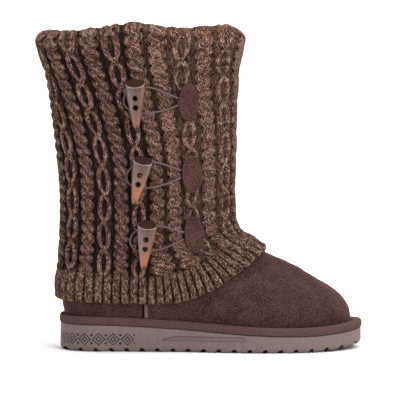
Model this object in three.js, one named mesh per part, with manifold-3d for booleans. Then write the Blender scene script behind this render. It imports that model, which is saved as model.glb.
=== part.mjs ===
// A right mukluk boot: a suede foot on a wedge sole, with a cable-knit sleeve round its shaft.
// Millimetres, +Z up, +X towards the toe, and the outer side of the foot towards -Y.
// The origin is on the floor, under the heel, at the middle of one tread lug.
// Lengths along the boot are counted from the back of the sole until the last line moves them.
import * as THREE from "three";
import { mergeVertices } from "three/addons/utils/BufferGeometryUtils.js";
import Module from "manifold-3d";

const wasm = await Module();
wasm.setup();

// Sole
const SOLE_LENGTH = 275;
const BALL_WIDTH = 105;
const HEEL_STACK = 24.5; // height of the sole's side at the heel
const FORE_STACK = 14.5; // height of the sole's side under the ball of the foot
const TOE_SPRING = 4.5;
const SOLE_BEVEL = 3.7; // rounding of the tread's outer edge
const SOLE_RIM = 0.9; // chamfer of its upper edge
const TREAD_GROOVES = 20;
const GROOVE_WIDTH = 4.6;
const GROOVE_DEPTH = 3.1;
const FIRST_GROOVE = 5.5; // from the back of the sole
const PANEL_DEPTH = 0.9; // sunk bar in the sole's side
const PANEL_HEIGHT = 4.4;

// Edge binding round the top of the sole
const BINDING_HEIGHT = 7.4;
const BINDING_PROUD = 0.7; // how far it stands out past the sole's side

// Foot and shaft
const FOOT_HEIGHT = 90; // from the ball's sole line to the bend at the ankle
const SHAFT_HEIGHT = 176; // from that bend to the upper's top edge
const SHAFT_DEPTH = 145; // fore and aft, at the ankle
const SHAFT_WIDTH = 83; // side to side, at the ankle
const UPPER_WALL = 3; // suede with its fleece lining
const INSOLE_THICKNESS = 5;
const GAP = 0.35; // between curved pieces that touch
const KNIT_GAP = 0.5; // between the knit's cables and what lies on them
const INSOLE_EASE = 0.35; // extra room round the insole

// Knit sleeve
const KNIT_WALL = 3.8; // in the furrows
const CABLE_RELIEF = 2.4; // how far a cable stands out of its furrow
const RIB_RELIEF = 2.2;
const CABLES = 24; // round the leg, ropes and chains in turn
const HEM_BAND = 27; // height of the ribbed hem
const BAND_BLEND = 7; // height over which the ribs turn into cables
const HEM_FLARE = 1.4;
const HEM_EDGE = 0.4; // share of the knit's wall that is left at the hem's rounded edge
const COLLAR_BULGE = 2.8;
const COLLAR_BAND = 0.16; // share of the shaft's height over which the collar thickens
const FACING_WALL = 4; // the part of the knit turned down inside the collar
const FOLD_RISE = 7; // of the turned edge above the upper's top edge

// Seams, toggles, loops and patches
const SEAM_WIDTH = 5;
const SEAM_HEIGHT = 1.8;
const SEAM_AT = 0.284; // along the sole
const TOGGLE_LENGTH = 39;
const TOGGLE_WIDTH = 16;
const TOGGLE_THICKNESS = 10;
const TOGGLE_HOLE = 4.2;
const CORD_DIAMETER = 1.8;
const PATCH_LENGTH = 35;
const PATCH_WIDTH = 17.5;
const PATCH_THICKNESS = 2;

// Steps over which slopes are measured: a share of the way round, and a height
const PROBE_ROUND = 0.004;
const PROBE_HEIGHT = 0.6;

// Numbers of facets, and how finely they are worked out
const UPPER_COLUMNS = 48;
const KNIT_COLUMNS = CABLES * 4;
const OUTLINE_STEPS = 30; // along each side of the sole
const SECTION_STEPS = 48; // along each side of a section, before it is shared out evenly
const HALVINGS = 24; // of an interval, when a point is searched for
const RUN_STEP = 1; // height steps in which the hem band's height is measured
const FACET_TOLERANCE = 0.02;
const WELD = 0.04;

// Sole outline. along: share of the sole's length. half, centre: shares of the ball's width.
const SOLE_OUTLINE = [
  { along: 0.0, half: 0.352, centre: 0.0 },
  { along: 0.14, half: 0.352, centre: 0.0 },
  { along: 0.38, half: 0.348, centre: -0.033 },
  { along: 0.5, half: 0.395, centre: -0.043 },
  { along: 0.62, half: 0.462, centre: -0.024 },
  { along: 0.72, half: 0.5, centre: 0.007 },
  { along: 0.86, half: 0.5, centre: 0.035 },
  { along: 1.0, half: 0.5, centre: 0.076 },
];
const SOLE_BACK_ROUND = 0.135;
const SOLE_FRONT_ROUND = 0.72;
const ROUND_POWER = 2.2; // of the super-ellipse that rounds each end

// Height of the sole's top line. rise: 0 at the ball's height, 1 at the heel's.
const SOLE_LINE = [
  { along: 0.0, rise: 1.0 },
  { along: 0.15, rise: 0.94 },
  { along: 0.27, rise: 0.81 },
  { along: 0.375, rise: 0.64 },
  { along: 0.46, rise: 0.49 },
  { along: 0.57, rise: 0.25 },
  { along: 0.735, rise: 0.03 },
  { along: 0.86, rise: 0.0 },
  { along: 1.0, rise: 0.0 },
];
const SPRING_FROM = 0.78;

// Foot sections, level by level. level: share of the foot's height. back, front: shares of the sole's
// length. rear, waist, ball: half widths, and arch, toe: sideways shifts, as shares of the ball's width.
// ballAt, backRound, frontRound: shares of the section's own length.
const FOOT_SECTIONS = [
  { level: 0.0, back: 0.024, front: 0.962, rear: 0.295, waist: 0.3, ball: 0.438, arch: -0.04,
    toe: 0.076, ballAt: 0.72, backRound: 0.125, frontRound: 0.7 },
  { level: 0.11, back: 0.019, front: 0.967, rear: 0.31, waist: 0.31, ball: 0.452, arch: -0.038,
    toe: 0.075, ballAt: 0.72, backRound: 0.125, frontRound: 0.69 },
  { level: 0.22, back: 0.012, front: 0.962, rear: 0.324, waist: 0.324, ball: 0.452, arch: -0.034,
    toe: 0.072, ballAt: 0.71, backRound: 0.13, frontRound: 0.67 },
  { level: 0.33, back: 0.006, front: 0.942, rear: 0.333, waist: 0.338, ball: 0.438, arch: -0.03,
    toe: 0.066, ballAt: 0.7, backRound: 0.135, frontRound: 0.64 },
  { level: 0.44, back: 0.006, front: 0.905, rear: 0.338, waist: 0.348, ball: 0.414, arch: -0.025,
    toe: 0.058, ballAt: 0.67, backRound: 0.145, frontRound: 0.6 },
  { level: 0.55, back: 0.01, front: 0.848, rear: 0.34, waist: 0.357, ball: 0.386, arch: -0.02,
    toe: 0.047, ballAt: 0.62, backRound: 0.16, frontRound: 0.55 },
  { level: 0.66, back: 0.015, front: 0.787, rear: 0.344, waist: 0.362, ball: 0.367, arch: -0.014,
    toe: 0.034, ballAt: 0.57, backRound: 0.19, frontRound: 0.5 },
  { level: 0.77, back: 0.019, front: 0.71, rear: 0.352, waist: 0.367, ball: 0.364, arch: -0.009,
    toe: 0.02, ballAt: 0.53, backRound: 0.24, frontRound: 0.46 },
  { level: 0.88, back: 0.022, front: 0.632, rear: 0.364, waist: 0.373, ball: 0.371, arch: -0.004,
    toe: 0.009, ballAt: 0.5, backRound: 0.33, frontRound: 0.46 },
  { level: 1.0, back: 0.024, front: 0.574, rear: 0.38, waist: 0.383, ball: 0.381, arch: 0.0,
    toe: 0.0, ballAt: 0.5, backRound: 0.42, frontRound: 0.48 },
];

// Shaft sections. level: share of the shaft's height. lean: shift of the middle, and depth, as shares of
// the shaft's depth. width: share of the shaft's width.
const SHAFT_SECTIONS = [
  { level: 0.08, lean: 0.0, depth: 1.004, width: 0.988 },
  { level: 0.2, lean: -0.003, depth: 0.999, width: 1.0 },
  { level: 0.35, lean: -0.007, depth: 1.013, width: 1.012 },
  { level: 0.49, lean: -0.012, depth: 1.034, width: 1.024 },
  { level: 0.64, lean: -0.021, depth: 1.059, width: 1.036 },
  { level: 0.81, lean: -0.034, depth: 1.103, width: 1.072 },
  { level: 0.9, lean: -0.044, depth: 1.14, width: 1.108 },
  { level: 1.0, lean: -0.05, depth: 1.183, width: 1.157 },
];
const SHAFT_MIDDLE = 0.291; // of the sole's length, from its back

// Lower edge of the knit. along: share of the sole's length. level: share of the foot's height.
const HEM_LINE = [
  { along: -0.03, level: 0.35 },
  { along: 0.06, level: 0.338 },
  { along: 0.24, level: 0.327 },
  { along: 0.35, level: 0.322 },
  { along: 0.4, level: 0.341 },
  { along: 0.464, level: 0.406 },
  { along: 0.527, level: 0.494 },
  { along: 0.593, level: 0.628 },
  { along: 0.64, level: 0.728 },
  { along: 0.68, level: 0.815 },
];

// Wave of the collar. round: share of the way round from the back by the outer side. rise: share of the
// fold's rise.
const COLLAR_WAVE = [
  { round: 0.0, rise: 0.27 },
  { round: 0.08, rise: -0.2 },
  { round: 0.14, rise: 0.05 },
  { round: 0.2, rise: 0.4 },
  { round: 0.25, rise: 0.93 },
  { round: 0.28, rise: 1.1 },
  { round: 0.31, rise: 0.85 },
  { round: 0.36, rise: 0.28 },
  { round: 0.4, rise: 0.62 },
  { round: 0.455, rise: 0.86 },
  { round: 0.5, rise: 0.05 },
  { round: 0.6, rise: 0.3 },
  { round: 0.68, rise: 0.72 },
  { round: 0.75, rise: 0.5 },
  { round: 0.85, rise: 0.6 },
  { round: 0.93, rise: 0.2 },
  { round: 1.0, rise: 0.27 },
];
const LEAN_FROM = 0.3; // share of the shaft's height above which the cables lean back
const LEAN_ROUND = 0.045; // share of the way round that they lean by at the collar
const LEAN_MOST = 0.12; // where round the leg they lean most

// Toggles and patches. along: share of the sole's length. level: share of the shaft's height above the
// ankle bend. turn: degrees, positive where the lower end points to the toe.
const TOGGLES = [
  { along: 0.258, level: 0.662, turn: 1.5 },
  { along: 0.266, level: 0.274, turn: -11.5 },
  { along: 0.285, level: -0.052, turn: -5 },
];
const PATCHES = [
  { along: 0.42, level: 0.686, turn: 0 },
  { along: 0.429, level: 0.32, turn: 2 },
  { along: 0.438, level: 0.006, turn: 9 },
];

// One cord loop, from the patch's edge round behind the toggle and back.
// ahead: from the patch's edge towards the toe. up: from the middle between the cord's two ends.
const LOOP_ROUTE = [
  { ahead: -0.4, up: 3.2 },
  { ahead: -5, up: 5.4 },
  { ahead: -11, up: 8.2 },
  { ahead: -18, up: 11.2 },
  { ahead: -25, up: 13.2 },
  { ahead: -32, up: 13.4 },
  { ahead: -39, up: 11.6 },
  { ahead: -44.5, up: 7.4 },
  { ahead: -46.6, up: 1.8 },
  { ahead: -44.8, up: -3.8 },
  { ahead: -39, up: -8.2 },
  { ahead: -31, up: -9.8 },
  { ahead: -23, up: -9.5 },
  { ahead: -15, up: -8.2 },
  { ahead: -7, up: -5.8 },
  { ahead: -0.4, up: -3.2 },
];
const CORD_SIDES = 8;
const CORD_STEPS = 18;
const LOOP_TURN = 8; // row of the route that lies farthest back
const LOOP_LIFT = 4; // of the loop's middle above the toggle's middle

const mix = (a, b, share) => a + (b - a) * share;
const clamp01 = (value) => Math.min(1, Math.max(0, value));
const smooth = (value) => clamp01(value) ** 2 * (3 - 2 * clamp01(value));

// A smooth curve through the rows of a table that never overshoots them (monotone cubic).
function curve(rows, at, of) {
  const x = rows.map((row) => row[at]);
  const y = rows.map((row) => row[of]);
  const slope = x.slice(1).map((next, i) => (y[i + 1] - y[i]) / (next - x[i]));
  const tangent = x.map((_, i) => {
    if (i === 0) return slope[0];
    if (i === x.length - 1) return slope[i - 1];
    const [before, after] = [slope[i - 1], slope[i]];
    return before * after <= 0 ? 0 : (2 * before * after) / (before + after);
  });
  return (value) => {
    const v = Math.min(x.at(-1), Math.max(x[0], value));
    let i = x.findIndex((next, k) => k > 0 && v <= next) - 1;
    if (i < 0) i = 0;
    const span = x[i + 1] - x[i];
    const t = (v - x[i]) / span;
    const cubic = (1 - t) ** 2 * (1 + 2 * t) * y[i] + t ** 2 * (3 - 2 * t) * y[i + 1];
    return cubic + span * (t * (1 - t) ** 2 * tangent[i] - t ** 2 * (1 - t) * tangent[i + 1]);
  };
}

// How a rounded end narrows: 1 inside, 0 at the end, as a super-ellipse.
function endRound(share, backRound, frontRound) {
  const back = share < backRound ? (backRound - share) / backRound : 0;
  const front = share > frontRound ? (share - frontRound) / (1 - frontRound) : 0;
  const reach = Math.min(1, Math.max(back, front));
  return (1 - reach ** ROUND_POWER) ** (1 / ROUND_POWER);
}

// Sole
const soleHalf = curve(SOLE_OUTLINE, "along", "half");
const soleCentre = curve(SOLE_OUTLINE, "along", "centre");
const soleRise = curve(SOLE_LINE, "along", "rise");

// How far the toe spring lifts the sole at a length along it.
function springAt(x) {
  const share = (x / SOLE_LENGTH - SPRING_FROM) / (1 - SPRING_FROM);
  return TOE_SPRING * clamp01(share) ** 2;
}

// Height of the sole's top face, which the upper, insole and binding stand on.
function soleTop(x) {
  return mix(FORE_STACK, HEEL_STACK, soleRise(x / SOLE_LENGTH)) + springAt(x);
}

// A point of the sole's outline. side: -1 on the outer side, 1 on the inner side.
function soleEdge(share, side, inset = 0) {
  const reach = endRound(share, SOLE_BACK_ROUND, SOLE_FRONT_ROUND);
  const half = (BALL_WIDTH * soleHalf(share) - inset) * reach;
  const x = mix(inset, SOLE_LENGTH - inset, share);
  return new THREE.Vector3(x, BALL_WIDTH * soleCentre(share) + side * half, 0);
}

// The sole's outline as one loop, from the back by the outer side to the toe and home by the inner side.
function soleLoop(inset, heightAt) {
  const shares = Array.from({ length: OUTLINE_STEPS + 1 }, (_, k) =>
    (1 - Math.cos((Math.PI * k) / OUTLINE_STEPS)) / 2);
  const outer = shares.map((share) => soleEdge(share, -1, inset));
  const inner = shares.slice(1, -1).reverse().map((share) => soleEdge(share, 1, inset));
  return [...outer, ...inner].map((point) => point.setZ(heightAt(point.x)));
}

// Foot and shaft
const BASE = FORE_STACK;
const BEND = BASE + FOOT_HEIGHT;
const UPPER_TOP = BEND + SHAFT_HEIGHT;

// Every section in millimetres, from the sole to the collar.
const SECTIONS = [
  ...FOOT_SECTIONS.map((row) => ({
    height: BASE + row.level * FOOT_HEIGHT,
    back: row.back * SOLE_LENGTH,
    front: row.front * SOLE_LENGTH,
    rear: row.rear * BALL_WIDTH,
    waist: row.waist * BALL_WIDTH,
    ball: row.ball * BALL_WIDTH,
    arch: row.arch * BALL_WIDTH,
    toe: row.toe * BALL_WIDTH,
    ballAt: row.ballAt,
    backRound: row.backRound,
    frontRound: row.frontRound,
  })),
  ...SHAFT_SECTIONS.map((row) => {
    const middle = SHAFT_MIDDLE * SOLE_LENGTH + row.lean * SHAFT_DEPTH;
    const half = (row.width * SHAFT_WIDTH) / 2;
    return {
      height: BEND + row.level * SHAFT_HEIGHT,
      back: middle - (row.depth * SHAFT_DEPTH) / 2,
      front: middle + (row.depth * SHAFT_DEPTH) / 2,
      rear: half,
      waist: half,
      ball: half,
      arch: 0,
      toe: 0,
      ballAt: 0.5,
      backRound: 0.5,
      frontRound: 0.5,
    };
  }),
];
const sectionOf = Object.fromEntries(
  Object.keys(SECTIONS[0]).filter((key) => key !== "height")
    .map((key) => [key, curve(SECTIONS, "height", key)]));
const WAIST_AT = 0.38;
const REAR_AT = 0.1;

// One side of a section as points that run from its back to its front.
function sectionSide(height, side) {
  const at = Object.fromEntries(Object.entries(sectionOf).map(([key, value]) => [key, value(height)]));
  return Array.from({ length: SECTION_STEPS + 1 }, (_, k) => {
    const share = (1 - Math.cos((Math.PI * k) / SECTION_STEPS)) / 2;
    const toWaist = smooth((share - REAR_AT) / (WAIST_AT - REAR_AT));
    const toBall = smooth((share - WAIST_AT) / (at.ballAt - WAIST_AT));
    const half = mix(mix(at.rear, at.waist, toWaist), at.ball, toBall);
    const toToe = smooth((share - WAIST_AT) / (1 - WAIST_AT));
    const centre = mix(at.arch * smooth(share / WAIST_AT), at.toe, toToe);
    const y = centre + side * half * endRound(share, at.backRound, at.frontRound);
    return new THREE.Vector3(mix(at.back, at.front, share), y, height);
  });
}

// How far round the columns have leaned at a height, as a share of the way round.
function leanRound(round, height) {
  const rise = (height - BEND) / SHAFT_HEIGHT;
  const here = (1 + Math.cos(2 * Math.PI * (round - LEAN_MOST))) / 2;
  return LEAN_ROUND * here * smooth((rise - LEAN_FROM) / (1 - LEAN_FROM));
}

// Where a test turns from true to false between two values.
function halve(isBelow, low, high) {
  let [from, to] = [low, high];
  for (let i = 0; i < HALVINGS; i += 1) {
    const middle = (from + to) / 2;
    if (isBelow(middle)) from = middle;
    else to = middle;
  }
  return (from + to) / 2;
}

// A point of the upper's outside. round: 0 at the back, 0.5 at the front, by the outer side.
function shell(round, height) {
  const turned = (((round - leanRound(round, height)) % 1) + 1) % 1;
  const outer = turned <= 0.5;
  const points = sectionSide(height, outer ? -1 : 1);
  const steps = points.slice(1).map((point, i) => point.distanceTo(points[i]));
  const total = steps.reduce((sum, step) => sum + step, 0);
  let left = (outer ? turned * 2 : 2 - turned * 2) * total;
  let i = 0;
  while (i < steps.length - 1 && left > steps[i]) {
    left -= steps[i];
    i += 1;
  }
  return points[i].clone().lerp(points[i + 1], steps[i] ? clamp01(left / steps[i]) : 0);
}

// The outward direction of the upper's outside.
function facing(round, height) {
  const along = shell(round + PROBE_ROUND, height).sub(shell(round - PROBE_ROUND, height));
  const up = shell(round, height + PROBE_HEIGHT).sub(shell(round, height - PROBE_HEIGHT));
  return along.cross(up).normalize();
}

// A point at a distance outside the upper, or inside it where the distance is negative.
function offShell(round, height, distance) {
  return shell(round, height).addScaledVector(facing(round, height), distance);
}

// The height at which a column of the shell meets a line that is given as a height along the boot.
const meet = (round, lineAt, low, high) =>
  halve((height) => height < lineAt(shell(round, height).x), low, high);

// How far round the shell a point lies on one side, by its distance along the boot and its height.
const roundAt = (x, side, height) =>
  halve((round) => shell(round, height).x < x, side < 0 ? 0 : 1, 0.5);

const hemLevel = curve(HEM_LINE, "along", "level");
const hemHeightAt = (x) => BASE + FOOT_HEIGHT * hemLevel(x / SOLE_LENGTH);
const collarRise = curve(COLLAR_WAVE, "round", "rise");
const rounds = (count) => Array.from({ length: count }, (_, i) => i / count);
const upperColumns = rounds(UPPER_COLUMNS);
const knitColumns = rounds(KNIT_COLUMNS);

// Heights along one column: where the upper stands on the sole, the hem, the hem band's top and the collar.
function columnMarks(round) {
  const foot = meet(round, (x) => soleTop(x) + GAP, BASE, HEEL_STACK + BASE);
  const hem = meet(round, hemHeightAt, HEEL_STACK, BEND);
  let band = hem;
  for (let run = 0, last = shell(round, hem); run < HEM_BAND; ) {
    band += RUN_STEP;
    const next = shell(round, band);
    run += next.distanceTo(last);
    last = next;
  }
  return { foot, hem, band, top: UPPER_TOP + FOLD_RISE * collarRise(round) };
}
const marksOf = new Map();
const marks = (round) => {
  if (!marksOf.has(round)) marksOf.set(round, columnMarks(round));
  return marksOf.get(round);
};

// Rows of the shell, from the sole to the hem and from the hem to the collar.
const FOOT_ROWS = [0, 0.13, 0.26, 0.39, 0.52, 0.65, 0.78, 0.9];
const BAND_ROWS = [0, 0.5];
const OUTER_BAND_ROWS = [0.1, 0.5];
const SHAFT_ROWS = [0, 0.08, 0.24, 0.44, 0.64, 0.82, 0.91, 1];
const UNDER_ROWS = [0, 0.08, 0.24, 0.55, 0.82, 0.91, 1]; // of the wall behind the knit
const FACING_ROWS = [0.82, 0.91];
const FOLD_ROWS = [0, 0.3, 0.65, 1];
const SEAM_ROWS = [0, 0.33, 0.66, 1];
const SEAM_PROFILE = [
  { across: -1, out: 0 },
  { across: -0.8, out: 1 },
  { across: 0.8, out: 1 },
  { across: 1, out: 0 },
];
const footHeight = (round, share) => mix(marks(round).foot, marks(round).hem, share);
const bandHeight = (round, share) => mix(marks(round).hem, marks(round).band, share);
const shaftHeight = (round, share) => mix(marks(round).band, marks(round).top, share);
const KNIT_ROWS = [
  ...BAND_ROWS.map((share) => (round) => bandHeight(round, share)),
  ...UNDER_ROWS.map((share) => (round) => shaftHeight(round, share)),
];
const UPPER_ROWS = [
  ...FOOT_ROWS.map((share) => (round) => footHeight(round, share)),
  ...KNIT_ROWS,
];

// A surface made of loops of points. Loops run round by the outer side, and follow each other upwards on
// the outside.
class Skin {
  points = [];
  faces = [];

  loop(points) {
    const first = this.points.length;
    this.points.push(...points);
    return points.map((_, i) => first + i);
  }

  // Joins two loops that follow each other. One may have twice as many points as the other.
  // The facets are split along the same diagonal on the two sides of a wall, so that they nest.
  join(a, b) {
    const count = Math.min(a.length, b.length);
    const climbs = this.points[b[0]].z >= this.points[a[0]].z;
    for (let i = 0; i < count; i += 1) {
      const j = (i + 1) % count;
      if (a.length === b.length && climbs) {
        this.faces.push([a[i], a[j], b[j]], [a[i], b[j], b[i]]);
      } else if (a.length === b.length) {
        this.faces.push([a[i], a[j], b[i]], [a[j], b[j], b[i]]);
      } else if (a.length > b.length) {
        const fine = [a[2 * i], a[2 * i + 1], a[(2 * i + 2) % a.length]];
        this.faces.push([fine[0], fine[1], b[i]], [fine[1], b[j], b[i]], [fine[1], fine[2], b[j]]);
      } else {
        const fine = [b[2 * i], b[2 * i + 1], b[(2 * i + 2) % b.length]];
        this.faces.push([a[i], fine[1], fine[0]], [a[i], a[j], fine[1]], [a[j], fine[2], fine[1]]);
      }
    }
  }

  // Closes a loop with strips across it, between points at the same place on its two sides.
  cap(loop, upwards) {
    const count = loop.length;
    for (let i = 0; i < count / 2; i += 1) {
      const [a, b, c, d] = [loop[i], loop[i + 1], loop[(count - i - 1) % count], loop[(count - i) % count]];
      const strip = i === 0 ? [[a, b, c]] : i === count / 2 - 1 ? [[a, b, d]] : [[a, b, c], [a, c, d]];
      this.faces.push(...strip.map((face) => (upwards ? face : face.toReversed())));
    }
  }

  geometry() {
    const flat = new Float32Array(this.points.flatMap((point) => [point.x, point.y, point.z]));
    return new THREE.BufferGeometry()
      .setAttribute("position", new THREE.BufferAttribute(flat, 3))
      .setIndex(this.faces.flat());
  }
}

// A body whose profile closes on itself, such as a hollow shell or a ring.
function ringBody(loops) {
  const skin = new Skin();
  const rows = loops.map((points) => skin.loop(points));
  rows.forEach((row, i) => skin.join(row, rows[(i + 1) % rows.length]));
  return skin.geometry();
}

// A body that is closed at its first loop and at its last.
function cappedBody(loops) {
  const skin = new Skin();
  const rows = loops.map((points) => skin.loop(points));
  rows.slice(1).forEach((row, i) => skin.join(rows[i], row));
  skin.cap(rows[0], false);
  skin.cap(rows.at(-1), true);
  return skin.geometry();
}

function solidOf(geometry) {
  const bare = geometry.index ? geometry.toNonIndexed() : geometry.clone();
  bare.deleteAttribute("normal");
  bare.deleteAttribute("uv");
  const merged = mergeVertices(bare);
  return new wasm.Manifold(new wasm.Mesh({
    numProp: 3,
    vertProperties: merged.getAttribute("position").array,
    triVerts: new Uint32Array(merged.index.array),
  }));
}

// The geometry of a solid, with corners closer than the weld joined and the facets between them dropped.
function geometryOf(solid) {
  const mesh = solid.getMesh();
  const corners = Array.from({ length: mesh.vertProperties.length / 3 }, (_, i) =>
    new THREE.Vector3().fromArray(mesh.vertProperties, 3 * i));
  const home = corners.map((corner, i) =>
    corners.findIndex((other, k) => k === i || (k < i && other.distanceToSquared(corner) < WELD ** 2)));
  const index = [];
  for (let i = 0; i < mesh.triVerts.length; i += 3) {
    const [a, b, c] = [home[mesh.triVerts[i]], home[mesh.triVerts[i + 1]], home[mesh.triVerts[i + 2]]];
    if (a !== b && b !== c && c !== a) index.push(a, b, c);
  }
  return new THREE.BufferGeometry()
    .setAttribute("position", new THREE.BufferAttribute(new Float32Array(mesh.vertProperties), 3))
    .setIndex(index);
}

const material = (color, roughness) => new THREE.MeshStandardMaterial({ color, roughness, metalness: 0 });
const RUBBER = material(0x6d5f5d, 0.75);
const TWILL = material(0x5a4743, 0.9);
const SUEDE = material(0x4f3c39, 0.95);
const FLEECE = material(0xb7a48c, 1);
const YARN = material(0x5d4a3e, 1);
const HORN = material(0x8a6350, 0.35);
const ELASTIC = material(0x6a4f4b, 0.7);
const LEATHER = material(0x55403d, 0.9);

const boot = new THREE.Group();
function add(name, geometry, look) {
  const mesh = new THREE.Mesh(geometry, look);
  mesh.name = name;
  boot.add(mesh);
  return mesh;
}

// Outsole: a wedge with a rounded tread edge, cross grooves and a sunk bar in each side.
const groovePitch = (SOLE_LENGTH - 2 * FIRST_GROOVE) / (TREAD_GROOVES - 1);

function grooveCutter(x) {
  const half = GROOVE_WIDTH / 2;
  const outline = new THREE.Shape();
  outline.moveTo(-half, -GROOVE_DEPTH);
  outline.lineTo(half, -GROOVE_DEPTH);
  outline.lineTo(half, GROOVE_DEPTH - half);
  outline.absarc(0, GROOVE_DEPTH - half, half, 0, Math.PI);
  const cutter = new THREE.ExtrudeGeometry(outline, {
    depth: 2 * BALL_WIDTH, curveSegments: 5, bevelEnabled: false,
  });
  cutter.translate(0, 0, -BALL_WIDTH).rotateX(Math.PI / 2).translate(x, 0, springAt(x));
  return solidOf(cutter);
}

// A long bar that follows the sole's side and comes to a point. from, to, pointed: shares of the sole's
// length. point: share of the bar's height left at its tip. middle, drop: shares of the fore stack.
const PANEL = { from: 0.335, to: 0.612, pointed: 0.045, point: 0.15, middle: 0.85, drop: 0.16 };
const PANEL_STEPS = 9;

function panelCutter(side) {
  const sections = Array.from({ length: PANEL_STEPS }, (_, i) => {
    const share = mix(PANEL.from, PANEL.to, i / (PANEL_STEPS - 1));
    const grown = mix(PANEL.point, 1, clamp01((share - PANEL.from) / PANEL.pointed));
    const edge = soleEdge(share, side);
    const middle = FORE_STACK * (PANEL.middle - PANEL.drop * (1 - grown));
    const half = (PANEL_HEIGHT / 2) * grown;
    const [inside, outside] = [edge.y - side * PANEL_DEPTH, edge.y + side * PANEL_DEPTH];
    return [[outside, -half], [outside, half], [inside, half], [inside, -half]].map(([y, rise]) =>
      new THREE.Vector3(edge.x, y, middle + rise));
  });
  const ordered = side > 0 ? sections : sections.toReversed();
  return solidOf(cappedBody(ordered));
}

const quarter = SOLE_BEVEL * (1 - Math.SQRT1_2); // how far in a quarter round lies at its middle
const sole = [
  soleLoop(SOLE_BEVEL, springAt),
  soleLoop(quarter, (x) => springAt(x) + quarter),
  soleLoop(0, (x) => springAt(x) + SOLE_BEVEL),
  soleLoop(0, (x) => soleTop(x) - SOLE_RIM),
  soleLoop(SOLE_RIM, soleTop),
];
let outsole = solidOf(cappedBody(sole));
for (let i = 0; i < TREAD_GROOVES; i += 1) {
  outsole = outsole.subtract(grooveCutter(FIRST_GROOVE + i * groovePitch));
}
for (const side of [-1, 1]) outsole = outsole.subtract(panelCutter(side));
add("outsole", geometryOf(outsole.simplify(FACET_TOLERANCE)), RUBBER);

// Upper: one hollow wall, open at the collar and underneath.
const upperOuter = UPPER_ROWS.map((heightOf) => upperColumns.map((round) => shell(round, heightOf(round))));
const upperInner = UPPER_ROWS.map((heightOf, row) =>
  upperColumns.map((round) => {
    const height = heightOf(round);
    const point = offShell(round, height, -UPPER_WALL);
    if (row === UPPER_ROWS.length - 1) point.setZ(height);
    if (row === 0) point.setZ(soleTop(point.x) + GAP);
    return point;
  }));
add("upper", ringBody([...upperOuter, ...upperInner.toReversed()]), SUEDE);

// Insole: a slab that fills the bottom of the upper.
const insoleLoop = (rise) => upperColumns.map((round) => {
  const point = offShell(round, marks(round).foot + rise, -(UPPER_WALL + GAP + INSOLE_EASE));
  return point.setZ(soleTop(point.x) + GAP + rise);
});
add("insole", cappedBody([insoleLoop(0), insoleLoop(INSOLE_THICKNESS)]), FLEECE);

// Edge binding: a ring that stands on the sole's rim and closes against the foot of the upper.
const soleShare = (point) => clamp01((point.x - sectionOf.back(point.z))
  / (sectionOf.front(point.z) - sectionOf.back(point.z)));
const BINDING_PROFILE = [
  { out: 0, rise: 0.0 },
  { out: 0, rise: 0.78 },
  { out: 0.35, rise: 1.0 },
  { out: 0.8, rise: 0.94 },
  { out: 1, rise: 0.6 },
  { out: 1, rise: 0.12 },
  { out: 0.9, rise: 0.0 },
];
const bindingLoop = (row) => upperColumns.map((round) => {
  const foot = marks(round).foot;
  const inner = offShell(round, foot + row.rise * BINDING_HEIGHT, GAP);
  const edge = soleEdge(soleShare(shell(round, foot)), round <= 0.5 ? -1 : 1, -BINDING_PROUD);
  const point = inner.lerp(edge.setZ(inner.z), row.out);
  return point.setZ(soleTop(point.x) + GAP + row.rise * BINDING_HEIGHT);
});
add("binding", ringBody(BINDING_PROFILE.map(bindingLoop).toReversed()), TWILL);

// Knit sleeve. Its relief is one ridge for each cable, and two ribs for each cable at the hem.
const ridge = (round) => (1 + Math.cos(2 * Math.PI * round * CABLES)) / 2;
const rib = (round) => (1 + Math.cos(4 * Math.PI * round * CABLES)) / 2;

// Distance of the knit's outside from the upper's outside.
function knitOut(round, height) {
  const { hem, band, top } = marks(round);
  const inBand = 1 - smooth((height - band) / BAND_BLEND + 0.5);
  const relief = mix(CABLE_RELIEF * ridge(round), RIB_RELIEF * rib(round), inBand);
  const flare = HEM_FLARE * (1 - smooth((height - hem) / (band - hem)));
  const bulge = COLLAR_BULGE * smooth(1 - (top - height) / (COLLAR_BAND * SHAFT_HEIGHT));
  return GAP + KNIT_WALL + relief + flare + bulge;
}

const outerLoop = (heightOf) => knitColumns.map((round) => {
  const height = heightOf(round);
  return offShell(round, height, knitOut(round, height));
});
const hemEdge = knitColumns.map((round) =>
  offShell(round, marks(round).hem, GAP + HEM_FLARE + KNIT_WALL * HEM_EDGE));
const innerLoop = (heightOf, row) => upperColumns.map((round) =>
  offShell(round, heightOf(round), GAP + (row === 0 ? HEM_FLARE : 0)));

// The turned edge: half an ellipse over the top of the upper, from the outside to the facing inside.
const facingBack = -(UPPER_WALL + GAP);
const facingIn = facingBack - FACING_WALL;
const foldLoop = (share) => knitColumns.map((round) => {
  const { top } = marks(round);
  const outside = knitOut(round, top);
  const out = (outside + facingIn) / 2 + ((outside - facingIn) / 2) * Math.cos(Math.PI * share);
  return offShell(round, top, out).setZ(top + FOLD_RISE * Math.sin(Math.PI * share));
});
const edgeLoop = (distance) => upperColumns.map((round) => {
  const { top } = marks(round);
  return offShell(round, top, distance).setZ(top + GAP);
});
const facingLoop = (columns, share, distance) => columns.map((round) =>
  offShell(round, shaftHeight(round, share), distance));

add("knit_sleeve", ringBody([
  hemEdge,
  ...OUTER_BAND_ROWS.map((share) => outerLoop((round) => bandHeight(round, share))),
  ...SHAFT_ROWS.slice(0, -1).map((share) => outerLoop((round) => shaftHeight(round, share))),
  ...FOLD_ROWS.map(foldLoop),
  ...FACING_ROWS.toReversed().map((share) => facingLoop(knitColumns, share, facingIn)),
  ...FACING_ROWS.map((share) => facingLoop(upperColumns, share, facingBack)),
  edgeLoop(facingBack),
  edgeLoop(GAP),
  ...KNIT_ROWS.slice(0, -1).map(innerLoop).toReversed(),
]), YARN);

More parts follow.
